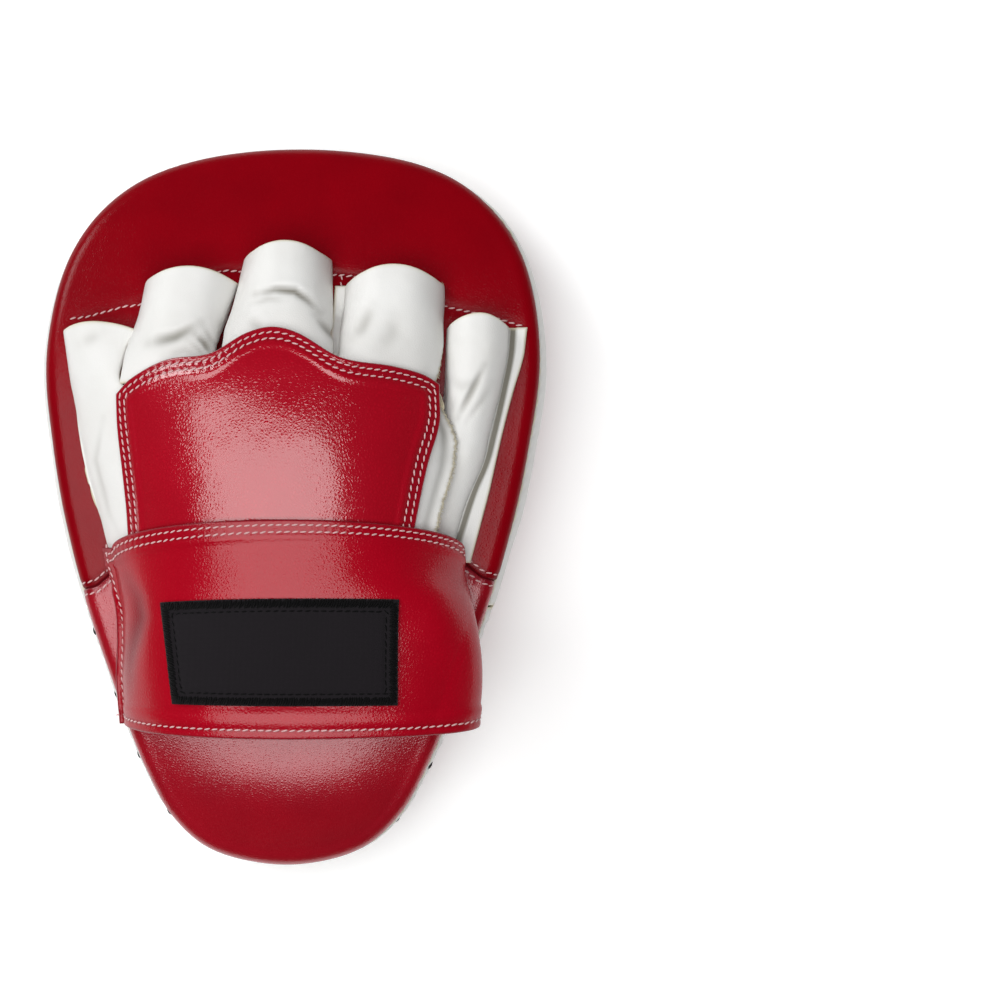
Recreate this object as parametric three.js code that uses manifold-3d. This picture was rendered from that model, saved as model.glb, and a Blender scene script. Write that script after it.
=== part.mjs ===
// A left-hand focus mitt, lying on its striking face with its glove side up.
// Millimetres, +Z up, +Y towards the fingertips, +X towards the thumb.
// The origin is on the surface that it rests on, under the middle of the pad.
import * as THREE from "three";
import { mergeVertices } from "three/addons/utils/BufferGeometryUtils.js";
import Module from "manifold-3d";

const wasm = await Module();
wasm.setup();

// Driving sizes.
const PAD_LENGTH = 274.4;
const PAD_WIDTH = 188.8;
const PAD_THICKNESS = 43;
const PAD_OFFSET = -1.8; // the pad's middle line beside the frame's Y axis
const PAD_LEAN = 0.02; // sideways drift of that line for each millimetre towards the fingers
const FACE_RADIUS = 458; // lengthwise hollow of the striking face
const REST_FLAT = 1.6; // depth of leather pressed flat where the mitt rests
const COVER_LEATHER = 1.6;
const WALL_LEATHER = 1.5;
const STALL_LEATHER = 1.4;
const HAND_LEATHER = 1.4;
const CUFF_LEATHER = 1.8;
const PATCH_THICKNESS = 1.2;
const GAP = 0.3; // between pieces that meet edge to edge
const LAYER_GAP = 0.5; // between curved layers that lie on each other
const FRONT_CROWN = 2;
const BACK_CROWN = 1;
const FRONT_RIM_RADIUS = 10;
const BACK_RIM_RADIUS = 6;
const RIM_INSET = 2.6; // the covers' edges lie this far inside the wall's bulge
const SLIT_WIDTH = 10;
const BACK_HEM_WIDTH = 7.5;
const SLIT_START = -38; // how far towards the tip the slit opens, from the frame's X axis
const SCALLOP = 1.2; // how far the lace draws the hems' edges
const LACE_RADIUS = 1.3;
const LACE_PITCH = 26;
const SLIT_DEPTH = 8.5; // from the wall's bulge to the foam behind the lace
const FOAM_DEPTH = 4.6; // from the wall's bulge to the foam behind the wall
const FOAM_STEP_RUN = 12; // along the wall, from the one depth to the other
const FOAM_SHOULDER = 2; // from a cover's edge to the foam's straight side
const HAND_RISE = 34; // height of the hand pocket over the back cover
const CUFF_RISE = 39;
const CUFF_TOP_LEAD = 10; // how far the middle of the cuff's upper edge runs ahead of its ends
const CUFF_BOTTOM_LEAD = 3;
const CUFF_FLANGE = 4;
const LITTLE_LEAD = 3; // how far a stall's crown runs ahead of its feet
const RING_LEAD = 5.5;
const MIDDLE_LEAD = 6;
const INDEX_LEAD = 7;
const THUMB_LEAD = 5;
const LITTLE_RISE = 13;
const RING_RISE = 20;
const MIDDLE_RISE = 23;
const INDEX_RISE = 20;
const THUMB_RISE = 15;
const EYELET_MARGIN = 3.8; // from the slit's edge to the eyelets
const SEAM_HEIGHT = 4; // the cross seam's arch: where its top is
const SEAM_DROP = 55; // and how far it has fallen at the pad's widest

// Shapes of the arches: the higher the width power, and the lower the height power, the squarer.
const ARCH_WIDTH_POWER = 2.2;
const ARCH_HEIGHT_POWER = 0.8;
const STALL_WIDTH_POWER = 2.6;
const STALL_HEIGHT_POWER = 0.5;
const CUFF_HEIGHT_POWER = 0.8;
const LEAD_POWER = 3; // how soon a mouth's curve dies out down the stall

// Steps of the meshes.
const AROUND = 40;
const RIM_STEPS = 4;
const WALL_COLUMNS = 32;
const WALL_ROWS = 4;
const HEM_STEPS = 4; // to each turn of the lace
const SEAM_STEPS = 28;
const LACE_SIDES = 6;
const LACE_STEPS = 10;
const STALL_COLUMNS = 10;
const THUMB_COLUMNS = 12;
const THUMB_ROW_STEPS = 10;
const PANEL_COLUMNS = 14;
const PANEL_ROW_STEPS = 9;
const CUFF_COLUMNS = 18;
const CUFF_ROW_STEPS = 9;
const PATCH_COLUMNS = 10;
const PATCH_ROW_STEPS = 5;
const THUMB_ARCH_SHARE = STALL_COLUMNS / THUMB_COLUMNS; // the other columns are the thumb stall's flange
const CUFF_FLANGE_SHARE = 1 / CUFF_COLUMNS;

const FOAM = { color: 0x151516, roughness: 0.95 };
const FACE_LEATHER = { color: 0x8e1a22, roughness: 0.6 };
const BACK_LEATHER = { color: 0x86000c, roughness: 0.4 };
const GLOVE_LEATHER = { color: 0xa8001a, roughness: 0.4 };
const WHITE_LEATHER = { color: 0xe8e6e2, roughness: 0.55 };
const LACE_CORD = { color: 0x18181a, roughness: 0.8 };
const LABEL_CLOTH = { color: 0x262226, roughness: 0.9 };

// Shares of half the pad's length and width, from the fingertip end to the tip.
const PAD_OUTLINE = [
  { along: 1.0, half: 0.0 },
  { along: 0.955, half: 0.49 },
  { along: 0.86, half: 0.742 },
  { along: 0.7, half: 0.915 },
  { along: 0.43, half: 1.0 },
  { along: 0.15, half: 0.962 },
  { along: -0.15, half: 0.868 },
  { along: -0.45, half: 0.73 },
  { along: -0.72, half: 0.583 },
  { along: -0.86, half: 0.47 },
  { along: -0.955, half: 0.31 },
  { along: -1.0, half: 0.0 },
];

// The arch of leather over the hand: its feet and crown, as shares of the pad's half sizes and of HAND_RISE.
const HAND_ARCH = [
  { along: 0.6, left: -0.94, right: 0.68, crown: 0.64 },
  { along: 0.5, left: -0.92, right: 0.69, crown: 0.79 },
  { along: 0.37, left: -0.89, right: 0.7, crown: 0.92 },
  { along: 0.19, left: -0.843, right: 0.725, crown: 0.98 },
  { along: 0.02, left: -0.785, right: 0.71, crown: 1.0 },
  { along: -0.2, left: -0.7, right: 0.67, crown: 1.0 },
];

// Each stall's two sides, as shares of the pad's half sizes. Rise is its share of the stall's own height,
// and merge is how far it has joined the arch over the hand.
const LITTLE_ROWS = [
  { along: 0.477, left: -0.915, right: -0.632, rise: 1, merge: 0 },
  { along: 0.42, left: -0.9, right: -0.66, rise: 1, merge: 0.12 },
  { along: 0.34, left: -0.883, right: -0.682, rise: 1, merge: 0.6 },
  { along: 0.27, left: -0.864, right: -0.58, rise: 1, merge: 0.9 },
  { along: 0.11, left: -0.824, right: -0.56, rise: 1, merge: 1 },
  { along: -0.06, left: -0.752, right: -0.55, rise: 1, merge: 1 },
  { along: -0.16, left: -0.712, right: -0.54, rise: 1, merge: 1 },
];
const RING_ROWS = [
  { along: 0.605, left: -0.592, right: -0.216, rise: 1, merge: 0 },
  { along: 0.51, left: -0.618, right: -0.255, rise: 1.02, merge: 0.12 },
  { along: 0.42, left: -0.654, right: -0.283, rise: 1.02, merge: 0.6 },
  { along: 0.33, left: -0.672, right: -0.29, rise: 1, merge: 0.95 },
];
const MIDDLE_ROWS = [
  { along: 0.67, left: -0.203, right: 0.148, rise: 1, merge: 0 },
  { along: 0.56, left: -0.237, right: 0.158, rise: 1.02, merge: 0.12 },
  { along: 0.45, left: -0.27, right: 0.166, rise: 1.02, merge: 0.6 },
  { along: 0.36, left: -0.276, right: 0.168, rise: 1, merge: 0.95 },
];
const INDEX_ROWS = [
  { along: 0.6, left: 0.195, right: 0.593, rise: 1, merge: 0 },
  { along: 0.51, left: 0.185, right: 0.593, rise: 1.02, merge: 0.1 },
  { along: 0.42, left: 0.18, right: 0.592, rise: 1.02, merge: 0.55 },
  { along: 0.36, left: 0.182, right: 0.58, rise: 1, merge: 0.9 },
  { along: 0.31, left: 0.3, right: 0.562, rise: 1, merge: 1 },
  { along: 0.25, left: 0.4, right: 0.598, rise: 1, merge: 1 },
  { along: 0.19, left: 0.41, right: 0.633, rise: 1, merge: 1 },
  { along: 0.12, left: 0.4, right: 0.629, rise: 1, merge: 1 },
  { along: 0.03, left: 0.38, right: 0.595, rise: 1, merge: 1 },
  { along: -0.06, left: 0.36, right: 0.563, rise: 1, merge: 1 },
  { along: -0.15, left: 0.34, right: 0.53, rise: 1, merge: 1 },
];
const THUMB_ROWS = [
  { along: 0.485, left: 0.606, right: 0.846, flange: 0.913, rise: 1 },
  { along: 0.41, left: 0.602, right: 0.838, flange: 0.9, rise: 1 },
  { along: 0.3, left: 0.595, right: 0.806, flange: 0.854, rise: 0.86 },
  { along: 0.2, left: 0.575, right: 0.773, flange: 0.817, rise: 0.68 },
  { along: 0.12, left: 0.548, right: 0.742, flange: 0.79, rise: 0.6 },
  { along: 0.03, left: 0.53, right: 0.688, flange: 0.76, rise: 0.5 },
  { along: -0.15, left: 0.51, right: 0.605, flange: 0.69, rise: 0.35 },
];
const STALLS = [
  { name: "little_stall", rows: LITTLE_ROWS, rise: LITTLE_RISE, lead: LITTLE_LEAD, rowSteps: 11 },
  { name: "ring_stall", rows: RING_ROWS, rise: RING_RISE, lead: RING_LEAD, rowSteps: 6 },
  { name: "middle_stall", rows: MIDDLE_ROWS, rise: MIDDLE_RISE, lead: MIDDLE_LEAD, rowSteps: 6 },
  { name: "index_stall", rows: INDEX_ROWS, rise: INDEX_RISE, lead: INDEX_LEAD, rowSteps: 15 },
];

// The red panel over the hand: its two sides, and the waves of its upper edge from the little finger across.
const PANEL_SIDES = [
  { along: 0.48, left: -0.668, right: 0.56 },
  { along: 0.3, left: -0.664, right: 0.5615 },
  { along: 0.22, left: -0.658, right: 0.5625 },
  { along: 0.113, left: -0.64, right: 0.52 },
  { along: 0.0, left: -0.625, right: 0.486 },
  { along: -0.16, left: -0.61, right: 0.44 },
];
const PANEL_TOP = [
  { across: 0.0, along: 0.3 },
  { across: 0.05, along: 0.34 },
  { across: 0.16, along: 0.386 },
  { across: 0.3, along: 0.402 },
  { across: 0.41, along: 0.455 },
  { across: 0.49, along: 0.472 },
  { across: 0.57, along: 0.455 },
  { across: 0.7, along: 0.392 },
  { across: 0.86, along: 0.37 },
  { across: 0.95, along: 0.35 },
  { across: 1.0, along: 0.325 },
];
const PANEL_BOTTOM = -0.15;

// The cuff: where its left foot and its right bulge are, as shares of the pad's half sizes.
// Free is how far it has left the hand panel's shape, and tuck is the angle by which its right side turns under.
const CUFF_ROWS = [
  { along: -0.105, left: -0.685, right: 0.65, free: 0, tuck: 0.05 },
  { along: -0.19, left: -0.668, right: 0.658, free: 0.35, tuck: 0.25 },
  { along: -0.27, left: -0.652, right: 0.688, free: 0.8, tuck: 0.5 },
  { along: -0.35, left: -0.652, right: 0.71, free: 1, tuck: 0.6 },
  { along: -0.46, left: -0.66, right: 0.722, free: 1, tuck: 0.62 },
  { along: -0.585, left: -0.648, right: 0.706, free: 1, tuck: 0.55 },
];

// The label's two sides, at shares of the cuff's own length.
const PATCH_ROWS = [
  { down: 0.357, left: -0.475, right: 0.414 },
  { down: 0.844, left: -0.434, right: 0.41 },
];

const HALF_LENGTH = PAD_LENGTH / 2;
const HALF_WIDTH = PAD_WIDTH / 2;
const FRONT_EDGE = FRONT_RIM_RADIUS;
const BACK_EDGE = PAD_THICKNESS - BACK_RIM_RADIUS;
const SLIT_TOP = BACK_EDGE - BACK_HEM_WIDTH;
const SLIT_BOTTOM = SLIT_TOP - SLIT_WIDTH;

function smooth(share) {
  const t = Math.min(1, Math.max(0, share));
  return t * t * (3 - 2 * t);
}

// A table's column at a place between its rows, on a smooth curve through them.
function readTable(rows, key, at, column) {
  const falling = rows[0][key] > rows[rows.length - 1][key];
  const last = rows.length - 1;
  let k = rows.findIndex((row) => (falling ? row[key] <= at : row[key] >= at));
  k = k < 0 ? last : Math.max(1, k);
  const [a, b] = [rows[k - 1], rows[k]];
  const before = rows[Math.max(0, k - 2)];
  const after = rows[Math.min(last, k + 1)];
  const span = b[key] - a[key];
  const t = Math.min(1, Math.max(0, (at - a[key]) / span));
  const slopeIn = ((b[column] - before[column]) / (b[key] - before[key])) * span;
  const slopeOut = ((after[column] - a[column]) / (after[key] - a[key])) * span;
  const t2 = t * t;
  const t3 = t2 * t;
  return (
    (2 * t3 - 3 * t2 + 1) * a[column] +
    (t3 - 2 * t2 + t) * slopeIn +
    (3 * t2 - 2 * t3) * b[column] +
    (t3 - t2) * slopeOut
  );
}

// Solids.

// A closed mesh whose faces point out.
function solid(points, index) {
  const made = new THREE.BufferGeometry();
  made.setAttribute("position", new THREE.Float32BufferAttribute(points.flatMap((p) => [p.x, p.y, p.z]), 3));
  let volume = 0;
  for (let i = 0; i < index.length; i += 3) {
    const [a, b, c] = [points[index[i]], points[index[i + 1]], points[index[i + 2]]];
    volume += a.dot(new THREE.Vector3().crossVectors(b, c));
  }
  if (volume < 0) index.reverse();
  made.setIndex(index);
  return made;
}

// A closed solid through rings of points, with a pole at each end.
function ringSolid(rows) {
  const count = AROUND;
  const points = rows.flatMap((row, r) => (r === 0 || r === rows.length - 1 ? [row[0]] : row));
  const end = points.length - 1;
  const at = (ring, k) => 1 + (ring - 1) * count + (k % count);
  const index = [];
  for (let k = 0; k < count; k++) {
    index.push(0, at(1, k), at(1, k + 1));
    for (let ring = 1; ring < rows.length - 2; ring++) {
      index.push(at(ring, k), at(ring + 1, k), at(ring, k + 1));
      index.push(at(ring, k + 1), at(ring + 1, k), at(ring + 1, k + 1));
    }
    index.push(at(rows.length - 2, k), end, at(rows.length - 2, k + 1));
  }
  return solid(points, index);
}

// A closed sheet between two grids of points, grid[column][row].
function sheetSolid(lower, upper) {
  const columns = lower.length;
  const rows = lower[0].length;
  const points = [...lower.flat(), ...upper.flat()];
  const low = (c, r) => c * rows + r;
  const up = (c, r) => columns * rows + c * rows + r;
  const index = [];
  const quad = (a, b, c, d) => index.push(a, b, c, a, c, d);
  for (let c = 0; c < columns - 1; c++) {
    for (let r = 0; r < rows - 1; r++) {
      quad(up(c, r), up(c + 1, r), up(c + 1, r + 1), up(c, r + 1));
      quad(low(c, r), low(c, r + 1), low(c + 1, r + 1), low(c + 1, r));
    }
    quad(low(c, 0), low(c + 1, 0), up(c + 1, 0), up(c, 0));
    quad(low(c + 1, rows - 1), low(c, rows - 1), up(c, rows - 1), up(c + 1, rows - 1));
  }
  for (let r = 0; r < rows - 1; r++) {
    quad(low(0, r + 1), low(0, r), up(0, r), up(0, r + 1));
    quad(low(columns - 1, r), low(columns - 1, r + 1), up(columns - 1, r + 1), up(columns - 1, r));
  }
  return solid(points, index);
}

function toManifold(geometry) {
  const bare = new THREE.BufferGeometry();
  bare.setAttribute("position", geometry.getAttribute("position").clone());
  if (geometry.index) bare.setIndex(geometry.index.clone());
  const merged = mergeVertices(bare, 1e-4);
  return new wasm.Manifold(
    new wasm.Mesh({
      numProp: 3,
      vertProperties: new Float32Array(merged.getAttribute("position").array),
      triVerts: new Uint32Array(merged.index.array),
    }),
  );
}

function fromManifold(shape) {
  const mesh = shape.getMesh();
  const made = new THREE.BufferGeometry();
  made.setAttribute("position", new THREE.BufferAttribute(mesh.vertProperties, 3));
  made.setIndex(new THREE.BufferAttribute(mesh.triVerts, 1));
  return made;
}

// The pad: its outline, and the bow that carries every point of it.

function padMiddle(y) {
  return PAD_OFFSET + PAD_LEAN * y;
}

const otherSide = PAD_OUTLINE.slice(1, -1).reverse();
const outlineRows = [...PAD_OUTLINE, ...otherSide.map((row) => ({ along: row.along, half: -row.half }))];
const outline = new THREE.CatmullRomCurve3(
  outlineRows.map((row) => {
    const y = row.along * HALF_LENGTH;
    return new THREE.Vector3(padMiddle(y) + row.half * HALF_WIDTH, y, 0);
  }),
  true,
  "centripetal",
);
const OUTLINE_LENGTH = outline.getLength();

// A point of the outline, moved inwards. Share 0 is the fingertip end, and the shares run by the
// thumb side to the tip and back.
function outlinePoint(share, inset) {
  const around = ((share % 1) + 1) % 1;
  const point = outline.getPointAt(around);
  const tangent = outline.getTangentAt(around);
  return new THREE.Vector2(point.x + tangent.y * inset, point.y - tangent.x * inset);
}

// The share at which one side of the outline reaches a place along the pad.
function shareAlong(y, from, to) {
  let [above, below] = [from, to];
  for (let step = 0; step < 40; step++) {
    const middle = (above + below) / 2;
    if (outlinePoint(middle, 0).y > y) above = middle;
    else below = middle;
  }
  return (above + below) / 2;
}

function bowAngle(y) {
  return Math.asin(y / (FACE_RADIUS + BACK_EDGE));
}

// The floor touches the rim where its underside is level, and the leather there is pressed flat.
const endRimAngle = bowAngle(HALF_LENGTH - RIM_INSET - FRONT_RIM_RADIUS);
const FLOOR_LEVEL = (FACE_RADIUS + FRONT_RIM_RADIUS) * Math.cos(endRimAngle) - FRONT_RIM_RADIUS + REST_FLAT;

function bend(x, y, height) {
  const angle = bowAngle(y);
  const radius = FACE_RADIUS + height;
  return new THREE.Vector3(x, radius * Math.sin(angle), radius * Math.cos(angle) - FLOOR_LEVEL);
}

function padPoint(share, inset, height) {
  const plan = outlinePoint(share, inset);
  return bend(plan.x, plan.y, height);
}

// The pad's pieces are rings round its outline. A row says how far a ring reaches from the pad's middle
// to its rim, and the rim's inset and height over the striking face.

const DISC_REACH = [0, 0.35, 0.65, 0.87, 1];

function discRows(inset, height, crown) {
  return DISC_REACH.map((reach) => ({ reach, inset, height: height - crown * (1 - reach * reach) }));
}

function rimRows(radius, inner, steps) {
  return Array.from({ length: steps }, (_, k) => {
    const angle = ((k + 1) / steps) * (Math.PI / 2);
    return {
      reach: 1,
      inset: RIM_INSET + radius - inner * Math.sin(angle),
      height: radius - inner * Math.cos(angle),
    };
  });
}

function coverRows(radius, crown) {
  const inner = radius - COVER_LEATHER;
  const outside = [...discRows(RIM_INSET + radius, 0, crown), ...rimRows(radius, radius, RIM_STEPS)];
  const inside = [...discRows(RIM_INSET + radius, COVER_LEATHER, crown), ...rimRows(radius, inner, RIM_STEPS / 2)];
  return { outside, inside };
}

function foamRows(radius, crown) {
  const inner = radius - COVER_LEATHER - GAP;
  const flat = discRows(RIM_INSET + radius, COVER_LEATHER + GAP, crown);
  return [...flat, ...rimRows(radius, inner, RIM_STEPS / 2)];
}

function upsideDown(rows) {
  return rows.map((row) => ({ ...row, height: PAD_THICKNESS - row.height }));
}

function padRing(row) {
  const middle = new THREE.Vector2(padMiddle(0), 0);
  return Array.from({ length: AROUND }, (_, k) => {
    const share = k / AROUND;
    const inset = typeof row.inset === "function" ? row.inset(share) : row.inset;
    const plan = outlinePoint(share, inset).sub(middle).multiplyScalar(row.reach).add(middle);
    return bend(plan.x, plan.y, row.height);
  });
}

// Leather and foam are pressed flat where they would reach below a level.
function pressed(ring, level) {
  return ring.map((point) => point.setZ(Math.max(point.z, level)));
}

function frontCover() {
  const { outside, inside } = coverRows(FRONT_RIM_RADIUS, FRONT_CROWN);
  return ringSolid([
    ...outside.map((row) => pressed(padRing(row), 0)),
    ...inside.reverse().map((row) => pressed(padRing(row), COVER_LEATHER)),
  ]);
}

function backCover() {
  const { outside, inside } = coverRows(BACK_RIM_RADIUS, BACK_CROWN);
  return ringSolid([...upsideDown(outside), ...upsideDown(inside).reverse()].map(padRing));
}

const slitRight = shareAlong(SLIT_START, 0, 0.5);
const slitLeft = 1 + shareAlong(SLIT_START, 0, -0.5);
const SHARE_GAP = GAP / OUTLINE_LENGTH;

// The foam fills the pad, and stands back from the open slit.
function foamDepth(share) {
  const run = FOAM_STEP_RUN / OUTLINE_LENGTH;
  const open = smooth((share - slitRight + run) / run) * smooth((slitLeft + run - share) / run);
  return FOAM_DEPTH + (SLIT_DEPTH - FOAM_DEPTH) * open;
}

function foamCore() {
  const sideHeights = [FRONT_EDGE + FOAM_SHOULDER, BACK_EDGE - FOAM_SHOULDER];
  const side = sideHeights.map((height) => ({ reach: 1, inset: foamDepth, height }));
  const front = foamRows(FRONT_RIM_RADIUS, FRONT_CROWN);
  const back = upsideDown(foamRows(BACK_RIM_RADIUS, BACK_CROWN));
  const rings = [...front, ...side, ...back.reverse()].map(padRing);
  return ringSolid(rings.map((ring) => pressed(ring, COVER_LEATHER + LAYER_GAP + GAP)));
}

// The cover in two panels, either side of the arched cross seam.
function panelOf(cover, upper) {
  const shift = upper ? GAP / 2 : -GAP / 2;
  const seamAt = (x) => SEAM_HEIGHT - SEAM_DROP * (x / HALF_WIDTH) ** 2 + shift;
  const side = PAD_WIDTH;
  const far = upper ? PAD_LENGTH : seamAt(side) - PAD_LENGTH;
  const seam = Array.from({ length: SEAM_STEPS + 1 }, (_, k) => {
    const x = ((2 * k) / SEAM_STEPS - 1) * side;
    return new THREE.Vector2(x, seamAt(x));
  });
  const shape = new THREE.Shape([...seam, new THREE.Vector2(side, far), new THREE.Vector2(-side, far)]);
  const block = new THREE.ExtrudeGeometry(shape, { depth: 2 * PAD_LENGTH, bevelEnabled: false });
  block.translate(0, 0, -PAD_LENGTH);
  return fromManifold(toManifold(cover).intersect(toManifold(block)));
}

// The wall between the covers, which bulges half way up.
function wallInset(height) {
  const share = (height - FRONT_EDGE) / (BACK_EDGE - FRONT_EDGE);
  return RIM_INSET * (2 * share - 1) ** 2;
}

function band(from, to, columns, rows, heightAt) {
  const grid = (extra) =>
    Array.from({ length: columns + 1 }, (_, c) => {
      const share = from + ((to - from) * c) / columns;
      return Array.from({ length: rows + 1 }, (__, r) => {
        const height = heightAt(share, r / rows);
        return padPoint(share, wallInset(height) + extra, height);
      });
    });
  return sheetSolid(grid(WALL_LEATHER), grid(0));
}

const WALL_FOOT = FRONT_EDGE + GAP;
const WALL_HEAD = BACK_EDGE - GAP;

function sideWall() {
  return band(slitLeft - 1 + SHARE_GAP, slitRight - SHARE_GAP, WALL_COLUMNS, WALL_ROWS, (share, up) =>
    THREE.MathUtils.lerp(WALL_FOOT, WALL_HEAD, up),
  );
}

// The lace goes over both hems on the outside and comes back inside, once for each pitch of the slit.
const slitLength = (slitLeft - slitRight) * OUTLINE_LENGTH;
const laceTurns = Math.round(slitLength / LACE_PITCH);
const turnShare = (slitLeft - slitRight) / laceTurns;

function scallop(share) {
  const turn = (share - slitRight) / turnShare;
  return SCALLOP * Math.cos(2 * Math.PI * turn);
}

const frontEyelet = SLIT_BOTTOM - EYELET_MARGIN;
const backEyelet = SLIT_TOP + EYELET_MARGIN;
const slitMiddle = (SLIT_BOTTOM + SLIT_TOP) / 2;

function laceSolid(radius) {
  const lift = LACE_RADIUS + GAP;
  const outside = (height) => wallInset(height) - lift;
  const inside = (height) => wallInset(height) + WALL_LEATHER + lift;
  const turnPoints = [
    { turn: 0.44, height: frontEyelet, inset: outside },
    { turn: 0.53, height: slitMiddle, inset: outside },
    { turn: 0.62, height: backEyelet, inset: outside },
    { turn: 0.66, height: backEyelet, inset: inside },
    { turn: 1.0, height: slitMiddle, inset: inside },
    { turn: 1.4, height: frontEyelet, inset: inside },
  ];
  const path = [];
  for (let k = 0; k < laceTurns; k++) {
    for (const point of k < laceTurns - 1 ? turnPoints : turnPoints.slice(0, 4)) {
      const share = slitRight + (k + point.turn) * turnShare;
      path.push(padPoint(share, point.inset(point.height), point.height));
    }
  }
  const corners = Array.from({ length: LACE_SIDES }, (_, k) => {
    const angle = (2 * Math.PI * k) / LACE_SIDES;
    return new THREE.Vector2(radius * Math.cos(angle), radius * Math.sin(angle));
  });
  const made = new THREE.ExtrudeGeometry(new THREE.Shape(corners), {
    steps: laceTurns * LACE_STEPS,
    extrudePath: new THREE.CatmullRomCurve3(path, false, "centripetal"),
    bevelEnabled: false,
  });
  return made;
}

function hem(low, high) {
  const columns = laceTurns * HEM_STEPS;
  const whole = band(slitRight + SHARE_GAP, slitLeft - SHARE_GAP, columns, 1, (share, up) =>
    THREE.MathUtils.lerp(low(share), high(share), up),
  );
  return fromManifold(toManifold(whole).subtract(toManifold(laceSolid(LACE_RADIUS + GAP))));
}

// The glove on the pad's back.

const coverGeometry = backCover();
const coverMesh = new THREE.Mesh(coverGeometry, new THREE.MeshBasicMaterial({ side: THREE.DoubleSide }));
const caster = new THREE.Raycaster();
const down = new THREE.Vector3(0, 0, -1);

// The height of the back cover's face under a point, or undefined beside it.
function coverTop(x, y) {
  caster.set(new THREE.Vector3(x, y, PAD_LENGTH), down);
  const hit = caster.intersectObject(coverMesh)[0];
  return hit && hit.point.z;
}

function handHeight(x, y) {
  const along = y / HALF_LENGTH;
  const left = readTable(HAND_ARCH, "along", along, "left") * HALF_WIDTH;
  const right = readTable(HAND_ARCH, "along", along, "right") * HALF_WIDTH;
  const across = (x - (left + right) / 2) / ((right - left) / 2);
  const crown = readTable(HAND_ARCH, "along", along, "crown") * HAND_RISE;
  return crown * Math.max(0, 1 - Math.abs(across) ** ARCH_WIDTH_POWER) ** ARCH_HEIGHT_POWER;
}

// A leather sheet between two distances from a surface, and never lower than the cover that it lies on.
function leather(surface, columns, rows, from, to) {
  const at = (c, r) => surface(c / columns, r / rows);
  const middle = Array.from({ length: columns + 1 }, (_, c) =>
    Array.from({ length: rows + 1 }, (__, r) => at(c, r)),
  );
  const normalAt = (c, r) => {
    const [c0, c1] = [Math.max(0, c - 1), Math.min(columns, c + 1)];
    const [r0, r1] = [Math.max(0, r - 1), Math.min(rows, r + 1)];
    const across = new THREE.Vector3().subVectors(middle[c1][r], middle[c0][r]);
    const lengthwise = new THREE.Vector3().subVectors(middle[c][r1], middle[c][r0]);
    return across.cross(lengthwise).normalize();
  };
  const turned = normalAt(columns >> 1, rows >> 1).z < 0 ? -1 : 1;
  const layer = (distance, rest) =>
    middle.map((column, c) =>
      column.map((point, r) => {
        const moved = point.clone().addScaledVector(normalAt(c, r), distance * turned);
        const floor = coverTop(moved.x, moved.y);
        if (floor !== undefined) moved.z = Math.max(moved.z, floor + rest);
        return moved;
      }),
    );
  return sheetSolid(layer(from, LAYER_GAP), layer(to, LAYER_GAP + to - from));
}

function onCover(x, y, height) {
  const floor = coverTop(x, y);
  return new THREE.Vector3(x, y, floor + height);
}

// A stall's section, as a share of its height, from -1 at its left foot to 1 at its right foot.
function stallArch(across) {
  return (1 - Math.abs(across) ** STALL_WIDTH_POWER) ** STALL_HEIGHT_POWER;
}

function stallSurface(stall) {
  const { rows, rise, lead } = stall;
  const read = (along, column) => readTable(rows, "along", along, column);
  return (u, v) => {
    const along = THREE.MathUtils.lerp(rows[0].along, rows[rows.length - 1].along, v);
    const left = read(along, "left") * HALF_WIDTH + LAYER_GAP;
    const right = read(along, "right") * HALF_WIDTH - LAYER_GAP;
    const across = -Math.cos(Math.PI * u);
    const x = (left + right) / 2 + (across * (right - left)) / 2;
    const y = along * HALF_LENGTH + lead * (1 - across * across) * (1 - v) ** LEAD_POWER;
    const hump = rise * read(along, "rise") * stallArch(across);
    return onCover(x, y, THREE.MathUtils.lerp(hump, handHeight(x, y), read(along, "merge")));
  };
}

function thumbSurface(u, v) {
  const read = (column) => readTable(THUMB_ROWS, "along", along, column);
  const along = THREE.MathUtils.lerp(THUMB_ROWS[0].along, THUMB_ROWS[THUMB_ROWS.length - 1].along, v);
  const left = read("left") * HALF_WIDTH + LAYER_GAP;
  const right = read("right") * HALF_WIDTH;
  const flange = read("flange") * HALF_WIDTH;
  const turn = u / THUMB_ARCH_SHARE;
  const across = -Math.cos(Math.PI * Math.min(1, turn));
  const beyond = Math.max(0, (u - THUMB_ARCH_SHARE) / (1 - THUMB_ARCH_SHARE));
  const x = (left + right) / 2 + (across * (right - left)) / 2 + beyond * (flange - right);
  const y = along * HALF_LENGTH + THUMB_LEAD * (1 - across * across) * (1 - v) ** LEAD_POWER;
  return onCover(x, y, THUMB_RISE * read("rise") * stallArch(across));
}

function panelSurface(u, v) {
  const top = readTable(PANEL_TOP, "across", u, "along");
  const along = THREE.MathUtils.lerp(PANEL_BOTTOM, top, v);
  const left = readTable(PANEL_SIDES, "along", along, "left") * HALF_WIDTH;
  const right = readTable(PANEL_SIDES, "along", along, "right") * HALF_WIDTH;
  const x = THREE.MathUtils.lerp(left, right, u);
  const y = along * HALF_LENGTH;
  return onCover(x, y, handHeight(x, y));
}

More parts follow.
